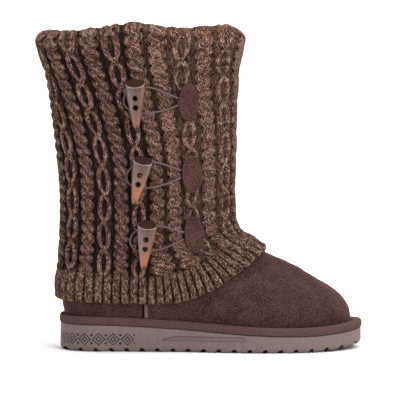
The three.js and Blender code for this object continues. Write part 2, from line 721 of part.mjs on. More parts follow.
// Raised side seams: a strip down each side of the foot, from under the hem to the binding.
function seam(side) {
  const atSole = SEAM_AT * SOLE_LENGTH;
  const start = roundAt(atSole, side, soleTop(atSole));
  const low = soleTop(atSole) + BINDING_HEIGHT + 3 * GAP;
  const loops = SEAM_ROWS.map((share) => {
    const height = mix(low, marks(start).hem - 2 * GAP, share);
    const centre = roundAt(atSole, side, height);
    const reach = shell(centre + PROBE_ROUND, height).distanceTo(shell(centre - PROBE_ROUND, height));
    const half = (PROBE_ROUND * SEAM_WIDTH) / reach;
    return SEAM_PROFILE.map(({ across, out }) =>
      offShell(centre + across * half, height, GAP + out * SEAM_HEIGHT));
  });
  return cappedBody(loops);
}
add("side_seam_outer", seam(-1), SUEDE);
add("side_seam_inner", seam(1), SUEDE);

// Pieces on the outer side of the shaft, placed by their distance along the boot and their height.
const crest = GAP + KNIT_WALL + CABLE_RELIEF;

// A point over the knit's cables on the outer side.
const overKnit = (x, height, distance) => offShell(roundAt(x, -1, height), height, crest + distance);
const spot = ({ along, level }) => ({ x: along * SOLE_LENGTH, z: BEND + level * SHAFT_HEIGHT });

// Turns a pair of distances, ahead and up, by a piece's own turn.
function turned(ahead, up, degrees) {
  const angle = (degrees * Math.PI) / 180;
  return [ahead * Math.cos(angle) - up * Math.sin(angle), ahead * Math.sin(angle) + up * Math.cos(angle)];
}

// Patch: an oval of suede that follows the knit. Its rings run from the back's middle to the front's.
const PATCH_RINGS = [
  { size: 0.45, out: 0 },
  { size: 1, out: 0 },
  { size: 1, out: 0.65 },
  { size: 0.92, out: 1 },
  { size: 0.45, out: 1 },
];
const PATCH_POINTS = 16;

function patch(place) {
  const { x, z } = spot(place);
  const loops = PATCH_RINGS.map(({ size, out }) => rounds(PATCH_POINTS).map((share) => {
    const angle = 2 * Math.PI * share;
    const ahead = (size * PATCH_WIDTH * Math.sin(angle)) / 2;
    const up = (size * PATCH_LENGTH * Math.cos(angle)) / 2;
    const [dx, dz] = turned(ahead, up, place.turn);
    return overKnit(x + dx, z + dz, KNIT_GAP + out * PATCH_THICKNESS);
  }));
  return cappedBody(loops.map((loop) => loop.toReversed()));
}

// Toggle: a tapered horn with a slanted cut at its thick end and two holes through it.
// from: share of its length from the tip. wide, thick: shares of the toggle's width and thickness.
const TOGGLE_PROFILE = [
  { from: 0, wide: 0.13, thick: 0.2 },
  { from: 0.02, wide: 0.24, thick: 0.38 },
  { from: 0.08, wide: 0.32, thick: 0.5 },
  { from: 0.3, wide: 0.48, thick: 0.66 },
  { from: 0.6, wide: 0.74, thick: 0.84 },
  { from: 0.85, wide: 0.94, thick: 0.97 },
  { from: 0.97, wide: 1, thick: 1 },
  { from: 1, wide: 0.94, thick: 0.9 },
];
const TOGGLE_POINTS = 12;
const TOGGLE_SLANT = 4.2; // drop of the cut face from its back edge to its front edge
const TOGGLE_HOLES = [0.47, 0.7]; // shares of its length from the tip
const CUT_FROM = 0.8; // share of its length above which the loops slant towards the cut

// How far a toggle's back lies from the knit's cables: clear of the cord and the cables behind it.
function toggleLift(place, route, middle, ahead, up, outward) {
  const behind = rounds(TOGGLE_POINTS).map((share) => {
    const { x, z } = spot(place);
    const dx = (TOGGLE_WIDTH / 2) * Math.cos(2 * Math.PI * share);
    const dz = (TOGGLE_LENGTH / 2) * Math.sin(2 * Math.PI * share);
    return overKnit(x + dx, z + dz, KNIT_GAP - CORD_DIAMETER / 2);
  });
  const near = route.filter((point) => {
    const offset = point.clone().sub(middle);
    return Math.abs(offset.dot(ahead)) < TOGGLE_WIDTH && Math.abs(offset.dot(up)) < TOGGLE_LENGTH / 2;
  });
  const heights = [...behind, ...near].map((point) => point.clone().sub(middle).dot(outward));
  return Math.max(...heights) + CORD_DIAMETER / 2 + GAP;
}

function toggle(place, route) {
  const loops = TOGGLE_PROFILE.map(({ from, wide, thick }) => rounds(TOGGLE_POINTS).map((share) => {
    const angle = 2 * Math.PI * share;
    const ahead = (wide * TOGGLE_WIDTH * Math.cos(angle)) / 2;
    const out = (-thick * TOGGLE_THICKNESS * Math.sin(angle)) / 2;
    const cut = (-out / TOGGLE_THICKNESS) * TOGGLE_SLANT * smooth((from - CUT_FROM) / (1 - CUT_FROM));
    return new THREE.Vector3(ahead, (from - 0.5) * TOGGLE_LENGTH + cut, out);
  }));
  let body = solidOf(cappedBody(loops));
  for (const share of TOGGLE_HOLES) {
    const circle = new THREE.Shape();
    circle.absarc(0, 0, TOGGLE_HOLE / 2, 0, 2 * Math.PI);
    const drill = new THREE.ExtrudeGeometry(circle, {
      depth: 2 * TOGGLE_THICKNESS, curveSegments: 6, bevelEnabled: false,
    });
    drill.translate(0, (share - 0.5) * TOGGLE_LENGTH, -TOGGLE_THICKNESS);
    body = body.subtract(solidOf(drill));
  }
  const geometry = geometryOf(body);
  geometry.rotateZ((place.turn * Math.PI) / 180);
  const { x, z } = spot(place);
  const middle = overKnit(x, z, 0);
  const outward = facing(roundAt(x, -1, z), z);
  const ahead = new THREE.Vector3(0, 0, 1).cross(outward).normalize();
  const up = outward.clone().cross(ahead);
  const basis = new THREE.Matrix4().makeBasis(ahead, up, outward);
  const lift = toggleLift(place, route, middle, ahead, up, outward);
  middle.addScaledVector(outward, lift + TOGGLE_THICKNESS / 2);
  return geometry.applyMatrix4(basis.setPosition(middle));
}

// Cord loop: it starts and ends at the patch's edge and passes behind the toggle.
function loopRoute(toggleAt, patchAt) {
  const [from, to] = [spot(toggleAt), spot(patchAt)];
  const edge = to.x - PATCH_WIDTH / 2 - GAP;
  return LOOP_ROUTE.map(({ ahead, up }) => {
    const share = clamp01(ahead / LOOP_ROUTE[LOOP_TURN].ahead);
    return overKnit(edge + ahead, mix(to.z, from.z + LOOP_LIFT, share) + up, KNIT_GAP + CORD_DIAMETER / 2);
  });
}

function cordLoop(route) {
  const section = new THREE.Shape();
  const angles = rounds(CORD_SIDES).map((share) => 2 * Math.PI * share);
  section.setFromPoints(angles.map((angle) =>
    new THREE.Vector2(Math.cos(angle), Math.sin(angle)).multiplyScalar(CORD_DIAMETER / 2)));
  const path = new THREE.CatmullRomCurve3(route);
  return new THREE.ExtrudeGeometry(section, { steps: CORD_STEPS, extrudePath: path, bevelEnabled: false });
}

TOGGLES.forEach((place, i) => {
  const route = loopRoute(place, PATCHES[i]);
  add(`toggle_${i + 1}`, toggle(place, route), HORN);
  add(`patch_${i + 1}`, patch(PATCHES[i]), LEATHER);
  add(`cord_loop_${i + 1}`, cordLoop(route), ELASTIC);
});

// The origin's lug lies between the third and the fourth groove.
boot.position.x = -(FIRST_GROOVE + 2.5 * groovePitch);
export default boot;
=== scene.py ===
"""A right mukluk boot: suede foot, wedge sole, cable-knit sleeve and horn toggles.

Shapes are worked out in millimetres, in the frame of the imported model: +X to the toe, -Y to the outer
side and +Z up. They go into the meshes in metres.
"""

import logging
import math
from dataclasses import dataclass, field
from enum import Enum
from typing import Callable, Sequence

import bmesh
import bpy
import numpy as np
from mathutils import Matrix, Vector


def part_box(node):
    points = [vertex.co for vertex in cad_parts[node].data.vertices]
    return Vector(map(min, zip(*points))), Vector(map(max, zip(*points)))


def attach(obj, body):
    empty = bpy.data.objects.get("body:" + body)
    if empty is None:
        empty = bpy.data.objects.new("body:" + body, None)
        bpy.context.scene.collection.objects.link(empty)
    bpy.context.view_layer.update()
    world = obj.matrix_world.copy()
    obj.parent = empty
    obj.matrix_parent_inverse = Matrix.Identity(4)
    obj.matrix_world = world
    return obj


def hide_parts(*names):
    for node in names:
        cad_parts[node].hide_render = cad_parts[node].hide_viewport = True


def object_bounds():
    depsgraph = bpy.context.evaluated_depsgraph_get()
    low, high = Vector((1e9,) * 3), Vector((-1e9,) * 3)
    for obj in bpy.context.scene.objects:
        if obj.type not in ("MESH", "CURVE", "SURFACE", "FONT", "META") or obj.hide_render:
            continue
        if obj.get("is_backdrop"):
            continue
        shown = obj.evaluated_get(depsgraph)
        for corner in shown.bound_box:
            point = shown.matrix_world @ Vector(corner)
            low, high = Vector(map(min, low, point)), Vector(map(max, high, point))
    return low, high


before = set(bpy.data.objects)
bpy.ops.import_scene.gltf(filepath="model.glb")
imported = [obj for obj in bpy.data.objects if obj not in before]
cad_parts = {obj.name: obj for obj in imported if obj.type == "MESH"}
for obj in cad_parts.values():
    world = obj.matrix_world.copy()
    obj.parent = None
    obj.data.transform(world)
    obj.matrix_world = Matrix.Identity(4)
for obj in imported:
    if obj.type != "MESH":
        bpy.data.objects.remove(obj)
CAD_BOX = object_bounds()

LOG = logging.getLogger("mukluk")
MM = 0.001
BINDING_HEIGHT = 7.4
SEED = 11
WAVES = 7
WAVE_GAIN = 1.8
Array = np.ndarray


# Numbers and curves

def smooth(value: Array) -> Array:
    """Ease from 0 to 1: three times the square less twice the cube, held outside 0 to 1."""
    held = np.clip(value, 0.0, 1.0)
    return held * held * (3.0 - 2.0 * held)


def mix(low: Array, high: Array, share: Array) -> Array:
    """The value a share of the way from low to high."""
    return low + (high - low) * share


def unit(vectors: Array) -> Array:
    """Vectors of the last axis scaled to length 1."""
    return vectors / np.maximum(np.linalg.norm(vectors, axis=-1, keepdims=True), 1e-9)


def run_along(points: Array) -> Array:
    """Distance run along paths of points, from 0 at their first row: the sum of the steps' lengths.

    Args:
        points: Rows of points, with their coordinates on the last axis.

    Returns:
        One distance for each point.
    """
    steps = np.linalg.norm(np.diff(points, axis=0), axis=-1)
    return np.concatenate([np.zeros((1,) + steps.shape[1:]), np.cumsum(steps, axis=0)])


class Curve:
    """A curve through the rows of a table that never overshoots them: a monotone cubic."""

    def __init__(self, at: Sequence[float], values: Sequence[float]) -> None:
        """Take the table's two columns.

        Args:
            at: The places of the rows, rising.
            values: The values there.
        """
        self.at = np.asarray(at, float)
        self.values = np.asarray(values, float)
        slope = np.diff(self.values) / np.diff(self.at)
        before, after = slope[:-1], slope[1:]
        product = before * after
        total = np.where(before + after == 0, 1.0, before + after)
        inner = np.where(product <= 0, 0.0, 2.0 * product / total)
        self.tangent = np.concatenate([slope[:1], inner, slope[-1:]])

    def __call__(self, where: Array) -> Array:
        """The curve's value: a cubic with given slopes between the two rows that lie round each place.

        Args:
            where: Places along the table, held to its ends.

        Returns:
            One value for each place.
        """
        held = np.clip(np.asarray(where, float), self.at[0], self.at[-1])
        i = np.clip(np.searchsorted(self.at, held, side="left") - 1, 0, len(self.at) - 2)
        span = self.at[i + 1] - self.at[i]
        t = (held - self.at[i]) / span
        low = (1 - t) ** 2 * (1 + 2 * t) * self.values[i]
        high = t ** 2 * (3 - 2 * t) * self.values[i + 1]
        bend = t * (1 - t) ** 2 * self.tangent[i] - t ** 2 * (1 - t) * self.tangent[i + 1]
        return low + high + span * bend


def wave_noise(points: Array, size: float, seed: int) -> Array:
    """Soft random relief between -1 and 1: a sum of sine waves in random directions.

    Args:
        points: Places in millimetres, with x, y and z on the last axis.
        size: Typical distance between two bumps, in millimetres.
        seed: Which waves are drawn.

    Returns:
        One value for each place.
    """
    rng = np.random.default_rng(SEED + seed)
    total = np.zeros(points.shape[:-1])
    for _ in range(WAVES):
        direction = unit(rng.normal(size=3)) * 2 * math.pi / (size * rng.uniform(0.7, 1.5))
        total += np.sin(points @ direction + rng.uniform(0, 2 * math.pi))
    return total / WAVES * WAVE_GAIN


# The boot's form

SOLE_OUTLINE = {
    "along": [0, 0.14, 0.38, 0.5, 0.62, 0.72, 0.86, 1],
    "half": [0.352, 0.352, 0.348, 0.395, 0.462, 0.5, 0.5, 0.5],
    "centre": [0, 0, -0.033, -0.043, -0.024, 0.007, 0.035, 0.076],
}
SOLE_LINE = {
    "along": [0, 0.15, 0.27, 0.375, 0.46, 0.57, 0.735, 0.86, 1],
    "rise": [1, 0.94, 0.81, 0.64, 0.49, 0.25, 0.03, 0, 0],
}
FOOT_SECTIONS = {
    "level": [0, 0.11, 0.22, 0.33, 0.44, 0.55, 0.66, 0.77, 0.88, 1],
    "back": [0.024, 0.019, 0.012, 0.006, 0.006, 0.01, 0.015, 0.019, 0.022, 0.024],
    "front": [0.962, 0.967, 0.962, 0.942, 0.905, 0.848, 0.787, 0.71, 0.632, 0.574],
    "rear": [0.295, 0.31, 0.324, 0.333, 0.338, 0.34, 0.344, 0.352, 0.364, 0.38],
    "waist": [0.3, 0.31, 0.324, 0.338, 0.348, 0.357, 0.362, 0.367, 0.373, 0.383],
    "ball": [0.438, 0.452, 0.452, 0.438, 0.414, 0.386, 0.367, 0.364, 0.371, 0.381],
    "arch": [-0.04, -0.038, -0.034, -0.03, -0.025, -0.02, -0.014, -0.009, -0.004, 0],
    "toe": [0.076, 0.075, 0.072, 0.066, 0.058, 0.047, 0.034, 0.02, 0.009, 0],
    "ball_at": [0.72, 0.72, 0.71, 0.7, 0.67, 0.62, 0.57, 0.53, 0.5, 0.5],
    "back_round": [0.125, 0.125, 0.13, 0.135, 0.145, 0.16, 0.19, 0.24, 0.33, 0.42],
    "front_round": [0.7, 0.69, 0.67, 0.64, 0.6, 0.55, 0.5, 0.46, 0.46, 0.48],
}
SHAFT_SECTIONS = {
    "level": [0.08, 0.2, 0.35, 0.49, 0.64, 0.81, 0.9, 1],
    "lean": [0, -0.003, -0.007, -0.012, -0.021, -0.034, -0.044, -0.05],
    "depth": [1.004, 0.999, 1.013, 1.034, 1.059, 1.103, 1.14, 1.183],
    "width": [0.988, 1, 1.012, 1.024, 1.036, 1.072, 1.108, 1.157],
}
HEM_LINE = {
    "along": [-0.03, 0.06, 0.24, 0.35, 0.4, 0.464, 0.527, 0.593, 0.64, 0.68],
    "level": [0.35, 0.338, 0.327, 0.322, 0.341, 0.406, 0.494, 0.628, 0.728, 0.815],
}
FLEX_LINES = {
    "along": [0.79, 0.745, 0.70],
    "slant": [0.0012, 0.0008, 0.0004],
    "depth": [0.3, 0.26, 0.2],
}
BINDING_PROFILE = {
    "way": [0, 0.12, 0.3, 0.5, 0.68, 0.86, 1],
    "out": [0.88, 1, 1.01, 0.99, 0.9, 0.52, 0.06],
    "rise": [0, 0.12, 0.38, 0.66, 0.87, 1.0, 0.93],
}
TOGGLE_TAPER = {
    "way": [0, 0.006, 0.02, 0.045, 0.08, 0.3, 0.6, 0.85, 0.97, 0.995, 1.0],
    "wide": [0.02, 0.12, 0.2, 0.27, 0.33, 0.53, 0.78, 0.94, 1.0, 0.985, 0.955],
    "thick": [0.03, 0.18, 0.31, 0.43, 0.5, 0.66, 0.84, 0.97, 1.0, 0.985, 0.955],
}
COLLAR_WAVE = {
    "round": [0, 0.08, 0.14, 0.2, 0.25, 0.28, 0.31, 0.36, 0.4, 0.455, 0.5, 0.6, 0.68, 0.75, 0.85, 0.93, 1],
    "rise": [0.27, -0.2, 0.05, 0.4, 0.93, 1.1, 0.85, 0.28, 0.62, 0.86, 0.05, 0.3, 0.72, 0.5, 0.6, 0.2, 0.27],
}


@dataclass
class BootForm:
    """The boot's own sizes, and the surface that its upper, knit and fittings follow.

    A place on the surface is a share of the way round, from the back by the outer side, and a height.
    """

    ball_width: float = 105.0
    heel_stack: float = 24.5
    fore_stack: float = 14.5
    toe_spring: float = 4.5
    foot_height: float = 90.0
    shaft_height: float = 176.0
    shaft_depth: float = 145.0
    shaft_width: float = 83.0
    upper_wall: float = 3.0
    hem_band: float = 27.0
    fold_rise: float = 7.0
    gap: float = 0.35
    round_power: float = 2.2
    waist_at: float = 0.38
    rear_at: float = 0.1
    lean_from: float = 0.3
    lean_round: float = 0.045
    lean_most: float = 0.12
    shaft_at: float = 0.291
    spring_from: float = 0.78
    heel_round: float = 0.135
    toe_round: float = 0.72
    foot_line_most: float = 44.0
    slope_turn: float = 0.004
    slope_rise: float = 0.6
    below_sole: float = 2.0
    above_upper: float = 24.0
    line_halvings: int = 24
    turn_halvings: int = 22
    table_rounds: int = 256
    table_heights: int = 190
    back: float = field(init=False)
    sole_length: float = field(init=False)

    def __post_init__(self) -> None:
        """Read the sole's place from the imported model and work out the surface's table."""
        low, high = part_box("outsole")
        self.back = low.x / MM
        self.sole_length = (high.x - low.x) / MM
        self.bend = self.fore_stack + self.foot_height
        self.upper_top = self.bend + self.shaft_height
        self.half = Curve(SOLE_OUTLINE["along"], SOLE_OUTLINE["half"])
        self.centre = Curve(SOLE_OUTLINE["along"], SOLE_OUTLINE["centre"])
        self.line = Curve(SOLE_LINE["along"], SOLE_LINE["rise"])
        self.hem_level = Curve(HEM_LINE["along"], HEM_LINE["level"])
        self.collar = Curve(COLLAR_WAVE["round"], COLLAR_WAVE["rise"])
        self.sections = self._section_curves()
        self.low, self.high = self.fore_stack - self.below_sole, self.upper_top + self.above_upper
        self.table = self._surface_table()

    def along(self, x: Array) -> Array:
        """How far along the sole a place lies, as a share of its length."""
        return (x - self.back) / self.sole_length

    def spring(self, x: Array) -> Array:
        """How far the toe spring lifts the tread: the square of the way past the ball."""
        past = (self.along(x) - self.spring_from) / (1 - self.spring_from)
        return self.toe_spring * np.clip(past, 0, 1) ** 2

    def sole_top(self, x: Array) -> Array:
        """Height of the sole's upper face at a distance along the boot."""
        return mix(self.fore_stack, self.heel_stack, self.line(self.along(x))) + self.spring(x)

    def end_round(self, share: Array, back_round: Array, front_round: Array) -> Array:
        """How a rounded end narrows, 1 inside and 0 at the end: a super-ellipse at each end.

        Args:
            share: Place along the sole, from 0 at the back to 1 at the toe.
            back_round: Place at which the rounding at the back ends.
            front_round: Place at which the rounding at the toe starts.

        Returns:
            The share of the full width.
        """
        back = np.where(share < back_round, (back_round - share) / back_round, 0)
        front = np.where(share > front_round, (share - front_round) / (1 - front_round), 0)
        reach = np.minimum(1, np.maximum(back, front))
        return (1 - reach ** self.round_power) ** (1 / self.round_power)

    def sole_edge(self, share: Array, side: Array, inset: Array = 0.0) -> tuple[Array, Array]:
        """Points of the sole's outline: half widths narrowed by a super-ellipse at both ends.

        Args:
            share: Distance along the sole as a share of its length.
            side: -1 on the outer side and 1 on the inner side.
            inset: How far inside the outline, in millimetres.

        Returns:
            The x and y of each point.
        """
        reach = self.end_round(share, self.heel_round, self.toe_round)
        half = (self.ball_width * self.half(share) - inset) * reach
        x = self.back + mix(inset, self.sole_length - inset, share)
        return x, self.ball_width * self.centre(share) + side * half

    def _section_curves(self) -> dict[str, Curve]:
        """Curves over the height for every size of a level section, foot and shaft in one.

        Returns:
            The curves by name.
        """
        foot = {name: np.array(column, float) for name, column in FOOT_SECTIONS.items()}
        shaft = {name: np.array(column, float) for name, column in SHAFT_SECTIONS.items()}
        heights = np.concatenate([self.fore_stack + foot["level"] * self.foot_height,
                                  self.bend + shaft["level"] * self.shaft_height])
        middle = self.back + self.shaft_at * self.sole_length + shaft["lean"] * self.shaft_depth
        depth = shaft["depth"] * self.shaft_depth / 2
        width = shaft["width"] * self.shaft_width / 2
        flat = np.full_like(width, 0.5)
        upper = {"back": middle - depth, "front": middle + depth, "rear": width, "waist": width,
                 "ball": width, "arch": flat * 0, "toe": flat * 0, "ball_at": flat,
                 "back_round": flat, "front_round": flat}
        scale = {"back": self.sole_length, "front": self.sole_length, "rear": self.ball_width,
                 "waist": self.ball_width, "ball": self.ball_width, "arch": self.ball_width,
                 "toe": self.ball_width}
        shift = {"back": self.back, "front": self.back}
        return {name: Curve(heights, np.concatenate(
            [foot[name] * scale.get(name, 1.0) + shift.get(name, 0.0), column]))
            for name, column in upper.items()}

    def _surface_table(self) -> Array:
        """The surface's x and y at even shares of the way round, level by level.

        Each side of a level section has a half width that runs from rear to waist to ball, narrowed by
        a super-ellipse at both ends. Its points are shared out evenly by length.

        Returns:
            An array of levels by places round by 2.
        """
        heights = np.linspace(self.low, self.high, self.table_heights)
        at = {name: curve(heights)[:, None] for name, curve in self.sections.items()}
        share = ((1 - np.cos(np.linspace(0, math.pi, 241))) / 2)[None, :]
        to_waist = smooth((share - self.rear_at) / (self.waist_at - self.rear_at))
        to_ball = smooth((share - self.waist_at) / (at["ball_at"] - self.waist_at))
        half = mix(mix(at["rear"], at["waist"], to_waist), at["ball"], to_ball)
        past = smooth((share - self.waist_at) / (1 - self.waist_at))
        centre = mix(at["arch"] * smooth(share / self.waist_at), at["toe"], past)
        reach = half * self.end_round(share, at["back_round"], at["front_round"])
        x = mix(at["back"], at["front"], share)
        steps = np.linspace(0, 1, self.table_rounds // 2 + 1)
        table = np.zeros((len(heights), self.table_rounds, 2))
        for side, cells in ((-1, slice(0, self.table_rounds // 2 + 1)), (1, None)):
            y = centre + side * reach
            run = np.concatenate([np.zeros((len(heights), 1)),
                                  np.cumsum(np.hypot(np.diff(x), np.diff(y)), axis=1)], axis=1)
            for level in range(len(heights)):
                even = steps * run[level, -1]
                sides = np.stack([np.interp(even, run[level], x[level]),
                                  np.interp(even, run[level], y[level])], axis=-1)
                if side < 0:
                    table[level, cells] = sides
                else:
                    table[level, self.table_rounds // 2:] = sides[:0:-1]
        return table

    def lean(self, turn: Array, height: Array) -> Array:
        """How far round the columns have leaned at a height, as a share of the way round.

        Args:
            turn: Way round the boot, from 0 to 1.
            height: Height above the ground.

        Returns:
            The share of the way round.
        """
        rise = (height - self.bend) / self.shaft_height
        here = (1 + np.cos(2 * math.pi * (turn - self.lean_most))) / 2
        return self.lean_round * here * smooth((rise - self.lean_from) / (1 - self.lean_from))

    def shell(self, turn: Array, height: Array) -> Array:
        """Points of the upper's outside: the surface table, with a cubic that passes through its rows.

        Args:
            turn: Shares of the way round, 0 at the back and 0.5 at the front.
            height: Heights in millimetres.

        Returns:
            Points with x, y and z on the last axis.
        """
        turn, height = np.broadcast_arrays(np.asarray(turn, float), np.asarray(height, float))
        across = ((turn - self.lean(turn, height)) % 1.0) * self.table_rounds
        upward = (height - self.low) / (self.high - self.low) * (self.table_heights - 1)
        i = np.floor(across).astype(int)
        j = np.clip(np.floor(upward).astype(int), 1, self.table_heights - 3)
        weights_i, weights_j = self._cubic(across - i), self._cubic(upward - j)
        flat = np.zeros(turn.shape + (2,))
        for b, weight_j in enumerate(weights_j):
            for a, weight_i in enumerate(weights_i):
                cell = self.table[j + b - 1, (i + a - 1) % self.table_rounds]
                flat += (weight_i * weight_j)[..., None] * cell
        return np.concatenate([flat, height[..., None]], axis=-1)

    @staticmethod
    def _cubic(t: Array) -> list[Array]:
        """The four weights, at a place between two rows, of a cubic that passes through its rows."""
        return [0.5 * (-t + 2 * t ** 2 - t ** 3), 0.5 * (2 - 5 * t ** 2 + 3 * t ** 3),
                0.5 * (t + 4 * t ** 2 - 3 * t ** 3), 0.5 * (-t ** 2 + t ** 3)]

    def facing(self, turn: Array, height: Array) -> Array:
        """Outward directions of the surface: the cross product of its two slopes.

        Args:
            turn: Way round the boot, from 0 to 1.
            height: Height above the ground.

        Returns:
            Directions of length 1, one for each place.
        """
        along = self.shell(turn + self.slope_turn, height) - self.shell(turn - self.slope_turn, height)
        up = self.shell(turn, height + self.slope_rise) - self.shell(turn, height - self.slope_rise)
        return unit(np.cross(along, up))

    def off(self, turn: Array, height: Array, distance: Array) -> Array:
        """Points at a distance outside the surface, or inside it where the distance is negative."""
        return self.shell(turn, height) + self.facing(turn, height) * np.asarray(distance)[..., None]

    def meet(self, turn: Array, line: Callable[[Array], Array], low: float, high: float) -> Array:
        """The height at which each column meets a line that is given along the boot, by halving.

        Args:
            turn: Way round the boot, from 0 to 1.
            line: Height of the line by the distance along the boot.
            low: Lowest height tried.
            high: Greatest height tried.

        Returns:
            One height for each column.
        """
        low, high = np.full_like(turn, low), np.full_like(turn, high)
        for _ in range(self.line_halvings):
            middle = (low + high) / 2
            below = middle < line(self.shell(turn, middle)[..., 0])
            low, high = np.where(below, middle, low), np.where(below, high, middle)
        return (low + high) / 2

    def turn_at(self, x: Array, height: Array, side: int = -1) -> Array:
        """How far round a point lies on one side, by its distance along and its height.

        Args:
            x: Distance along the boot.
            height: Height above the ground.
            side: -1 on the outer side and 1 on the inner.

        Returns:
            The way round, from 0 to 1.
        """
        x, height = np.broadcast_arrays(np.asarray(x, float), np.asarray(height, float))
        low, high = np.full(x.shape, 0.0 if side < 0 else 1.0), np.full(x.shape, 0.5)
        for _ in range(self.turn_halvings):
            middle = (low + high) / 2
            behind = self.shell(middle, height)[..., 0] < x
            low, high = np.where(behind, middle, low), np.where(behind, high, middle)
        return (low + high) / 2

    def foot_line(self, turn: Array) -> Array:
        """Height at which the upper stands on the sole.

        Args:
            turn: Way round the boot, from 0 to 1.

        Returns:
            One height for each column.
        """
        def ground(x: Array) -> Array:
            """Height of the sole's upper face and the gap over it."""
            return self.sole_top(x) + self.gap

        return self.meet(turn, ground, self.fore_stack, self.foot_line_most)

    def hem_line(self, turn: Array) -> Array:
        """Height of the knit's lower edge.

        Args:
            turn: Way round the boot, from 0 to 1.

        Returns:
            One height for each column.
        """
        def edge(x: Array) -> Array:
            """Height of the edge at a distance along the boot."""
            return self.fore_stack + self.foot_height * self.hem_level(self.along(x))

        return self.meet(turn, edge, self.heel_stack, self.bend)

    def band_line(self, turn: Array, run: float) -> Array:
        """Height at which a run up the surface from the knit's lower edge ends.

        Args:
            turn: Shares of the way round.
            run: Distance from the lower edge, measured up the surface.

        Returns:
            One height for each column.
        """
        hem = self.hem_line(turn)
        rises = np.linspace(0, 1.3 * run, 60)[:, None]
        points = self.shell(turn[None, :], hem[None, :] + rises)
        runs = run_along(points)
        found = [np.interp(run, runs[:, i], rises[:, 0]) for i in range(len(turn))]
        return hem + np.array(found)

    def collar_line(self, turn: Array) -> Array:
        """Height of the upper's top edge, on which the collar's fold sits."""
        return self.upper_top + self.fold_rise * self.collar(turn % 1.0)


# Meshes

def mesh_object(name: str, points: Array, faces: Array, uv: Array | None = None,
                marks: dict[str, Array] | None = None) -> bpy.types.Object:
    """Make an object from points in millimetres and four-sided or three-sided faces.

    Args:
        name: The piece's name.
        points: Corners, with x, y and z on the last axis.
        faces: Corner numbers, one face a row.
        uv: A pair of pattern coordinates for each corner of the mesh.
        marks: Named values for each corner of the mesh, read by the materials.

    Returns:
        The new object, smooth and at the origin.
    """
    mesh = bpy.data.meshes.new(name)
    corners = np.ascontiguousarray(points.reshape(-1, 3) * MM, np.float32)
    sides = faces.shape[1]
    mesh.vertices.add(len(corners))
    mesh.vertices.foreach_set("co", corners.ravel())
    mesh.loops.add(faces.size)
    mesh.loops.foreach_set("vertex_index", faces.ravel().astype(np.int32))
    mesh.polygons.add(len(faces))
    mesh.polygons.foreach_set("loop_start", np.arange(0, faces.size, sides, dtype=np.int32))
    mesh.polygons.foreach_set("use_smooth", np.ones(len(faces), bool))
    if uv is not None:
        layer = mesh.uv_layers.new(name="pattern")
        layer.data.foreach_set("uv", uv.reshape(-1, 2)[faces.ravel()].astype(np.float32).ravel())
    for key, values in (marks or {}).items():
        attribute = mesh.attributes.new(key, "FLOAT", "POINT")
        attribute.data.foreach_set("value", np.ascontiguousarray(values.ravel(), np.float32))
    mesh.update(calc_edges=True)
    mesh.validate()
    made = bpy.data.objects.new(name, mesh)
    bpy.context.scene.collection.objects.link(made)
    return made


def grid_faces(rows: int, columns: int, ring: bool, closed: bool) -> Array:
    """Faces of a grid of points, turned outwards for columns that run round and rows that climb.

    Args:
        rows: Number of rows.
        columns: Number of points in a row.
        ring: True where each row closes on itself.
        closed: True where the last row joins the first.

    Returns:
        Four corner numbers for each face.
    """
    i = np.arange(rows if closed else rows - 1)[:, None]
    j = np.arange(columns if ring else columns - 1)[None, :]
    next_i, next_j = (i + 1) % rows, (j + 1) % columns
    corners = [i * columns + j, i * columns + next_j, next_i * columns + next_j, next_i * columns + j]
    return np.stack([np.broadcast_to(c, (i.shape[0], j.shape[1])) for c in corners], -1).reshape(-1, 4)


def grid_object(name: str, points: Array, uv: Array | None = None, closed: bool = True,
                marks: dict[str, Array] | None = None) -> bpy.types.Object:
    """An object from a grid whose rows are rings, and whose last row joins its first if closed."""
    faces = grid_faces(points.shape[0], points.shape[1], True, closed)
    return mesh_object(name, points, faces, uv, marks)


def lid_rows(row: Array, steps: int) -> Array:
    """Rows that close a ring: its points drawn towards its middle, the last a single place.

    Args:
        row: Points of the ring.
        steps: Number of rows.

    Returns:
        The rows, from the ring inwards.
    """
    share = np.linspace(0, 1, steps + 1)[1:, None, None]
    middle = row.mean(axis=0)
    return mix(row[None], middle[None, None], share)


def weld(piece: bpy.types.Object) -> None:
    """Join corners that share a place, so that poles and seams are closed.

    Args:
        piece: The piece whose corners are joined.
    """
    loose = bmesh.new()
    loose.from_mesh(piece.data)
    bmesh.ops.remove_doubles(loose, verts=loose.verts, dist=0.001 * MM)
    loose.to_mesh(piece.data)
    loose.free()


def tube(path: Array, radius: float, sides: int) -> tuple[Array, Array]:
    """Sweep a circle along an open path, with a frame carried from step to step, and close its ends.

    Args:
        path: Points along the path, in millimetres.
        radius: The circle's radius, in millimetres.
        sides: Points round the circle.

    Returns:
        The grid of points, with rows that run round, and a pair of pattern coordinates for each.
    """
    ahead = unit(np.gradient(path, axis=0))
    side = np.zeros_like(path)
    side[0] = unit(np.cross(ahead[0], [0.1, 0.9, 0.3]))
    for i in range(1, len(path)):
        side[i] = unit(side[i - 1] - ahead[i] * (side[i - 1] @ ahead[i]))
    other = np.cross(ahead, side)
    angle = np.linspace(0, 2 * math.pi, sides, endpoint=False)
    ring = side[:, None] * np.cos(angle)[None, :, None] + other[:, None] * np.sin(angle)[None, :, None]
    body = path[:, None] + radius * ring
    run = run_along(path)
    points = np.concatenate([lid_rows(body[0], 2)[::-1], body, lid_rows(body[-1], 2)])
    runs = np.concatenate([[0, 0], run, [run[-1]] * 2])
    uv = np.stack(np.broadcast_arrays((angle * radius)[None, :], runs[:, None]), -1)
    return points, uv


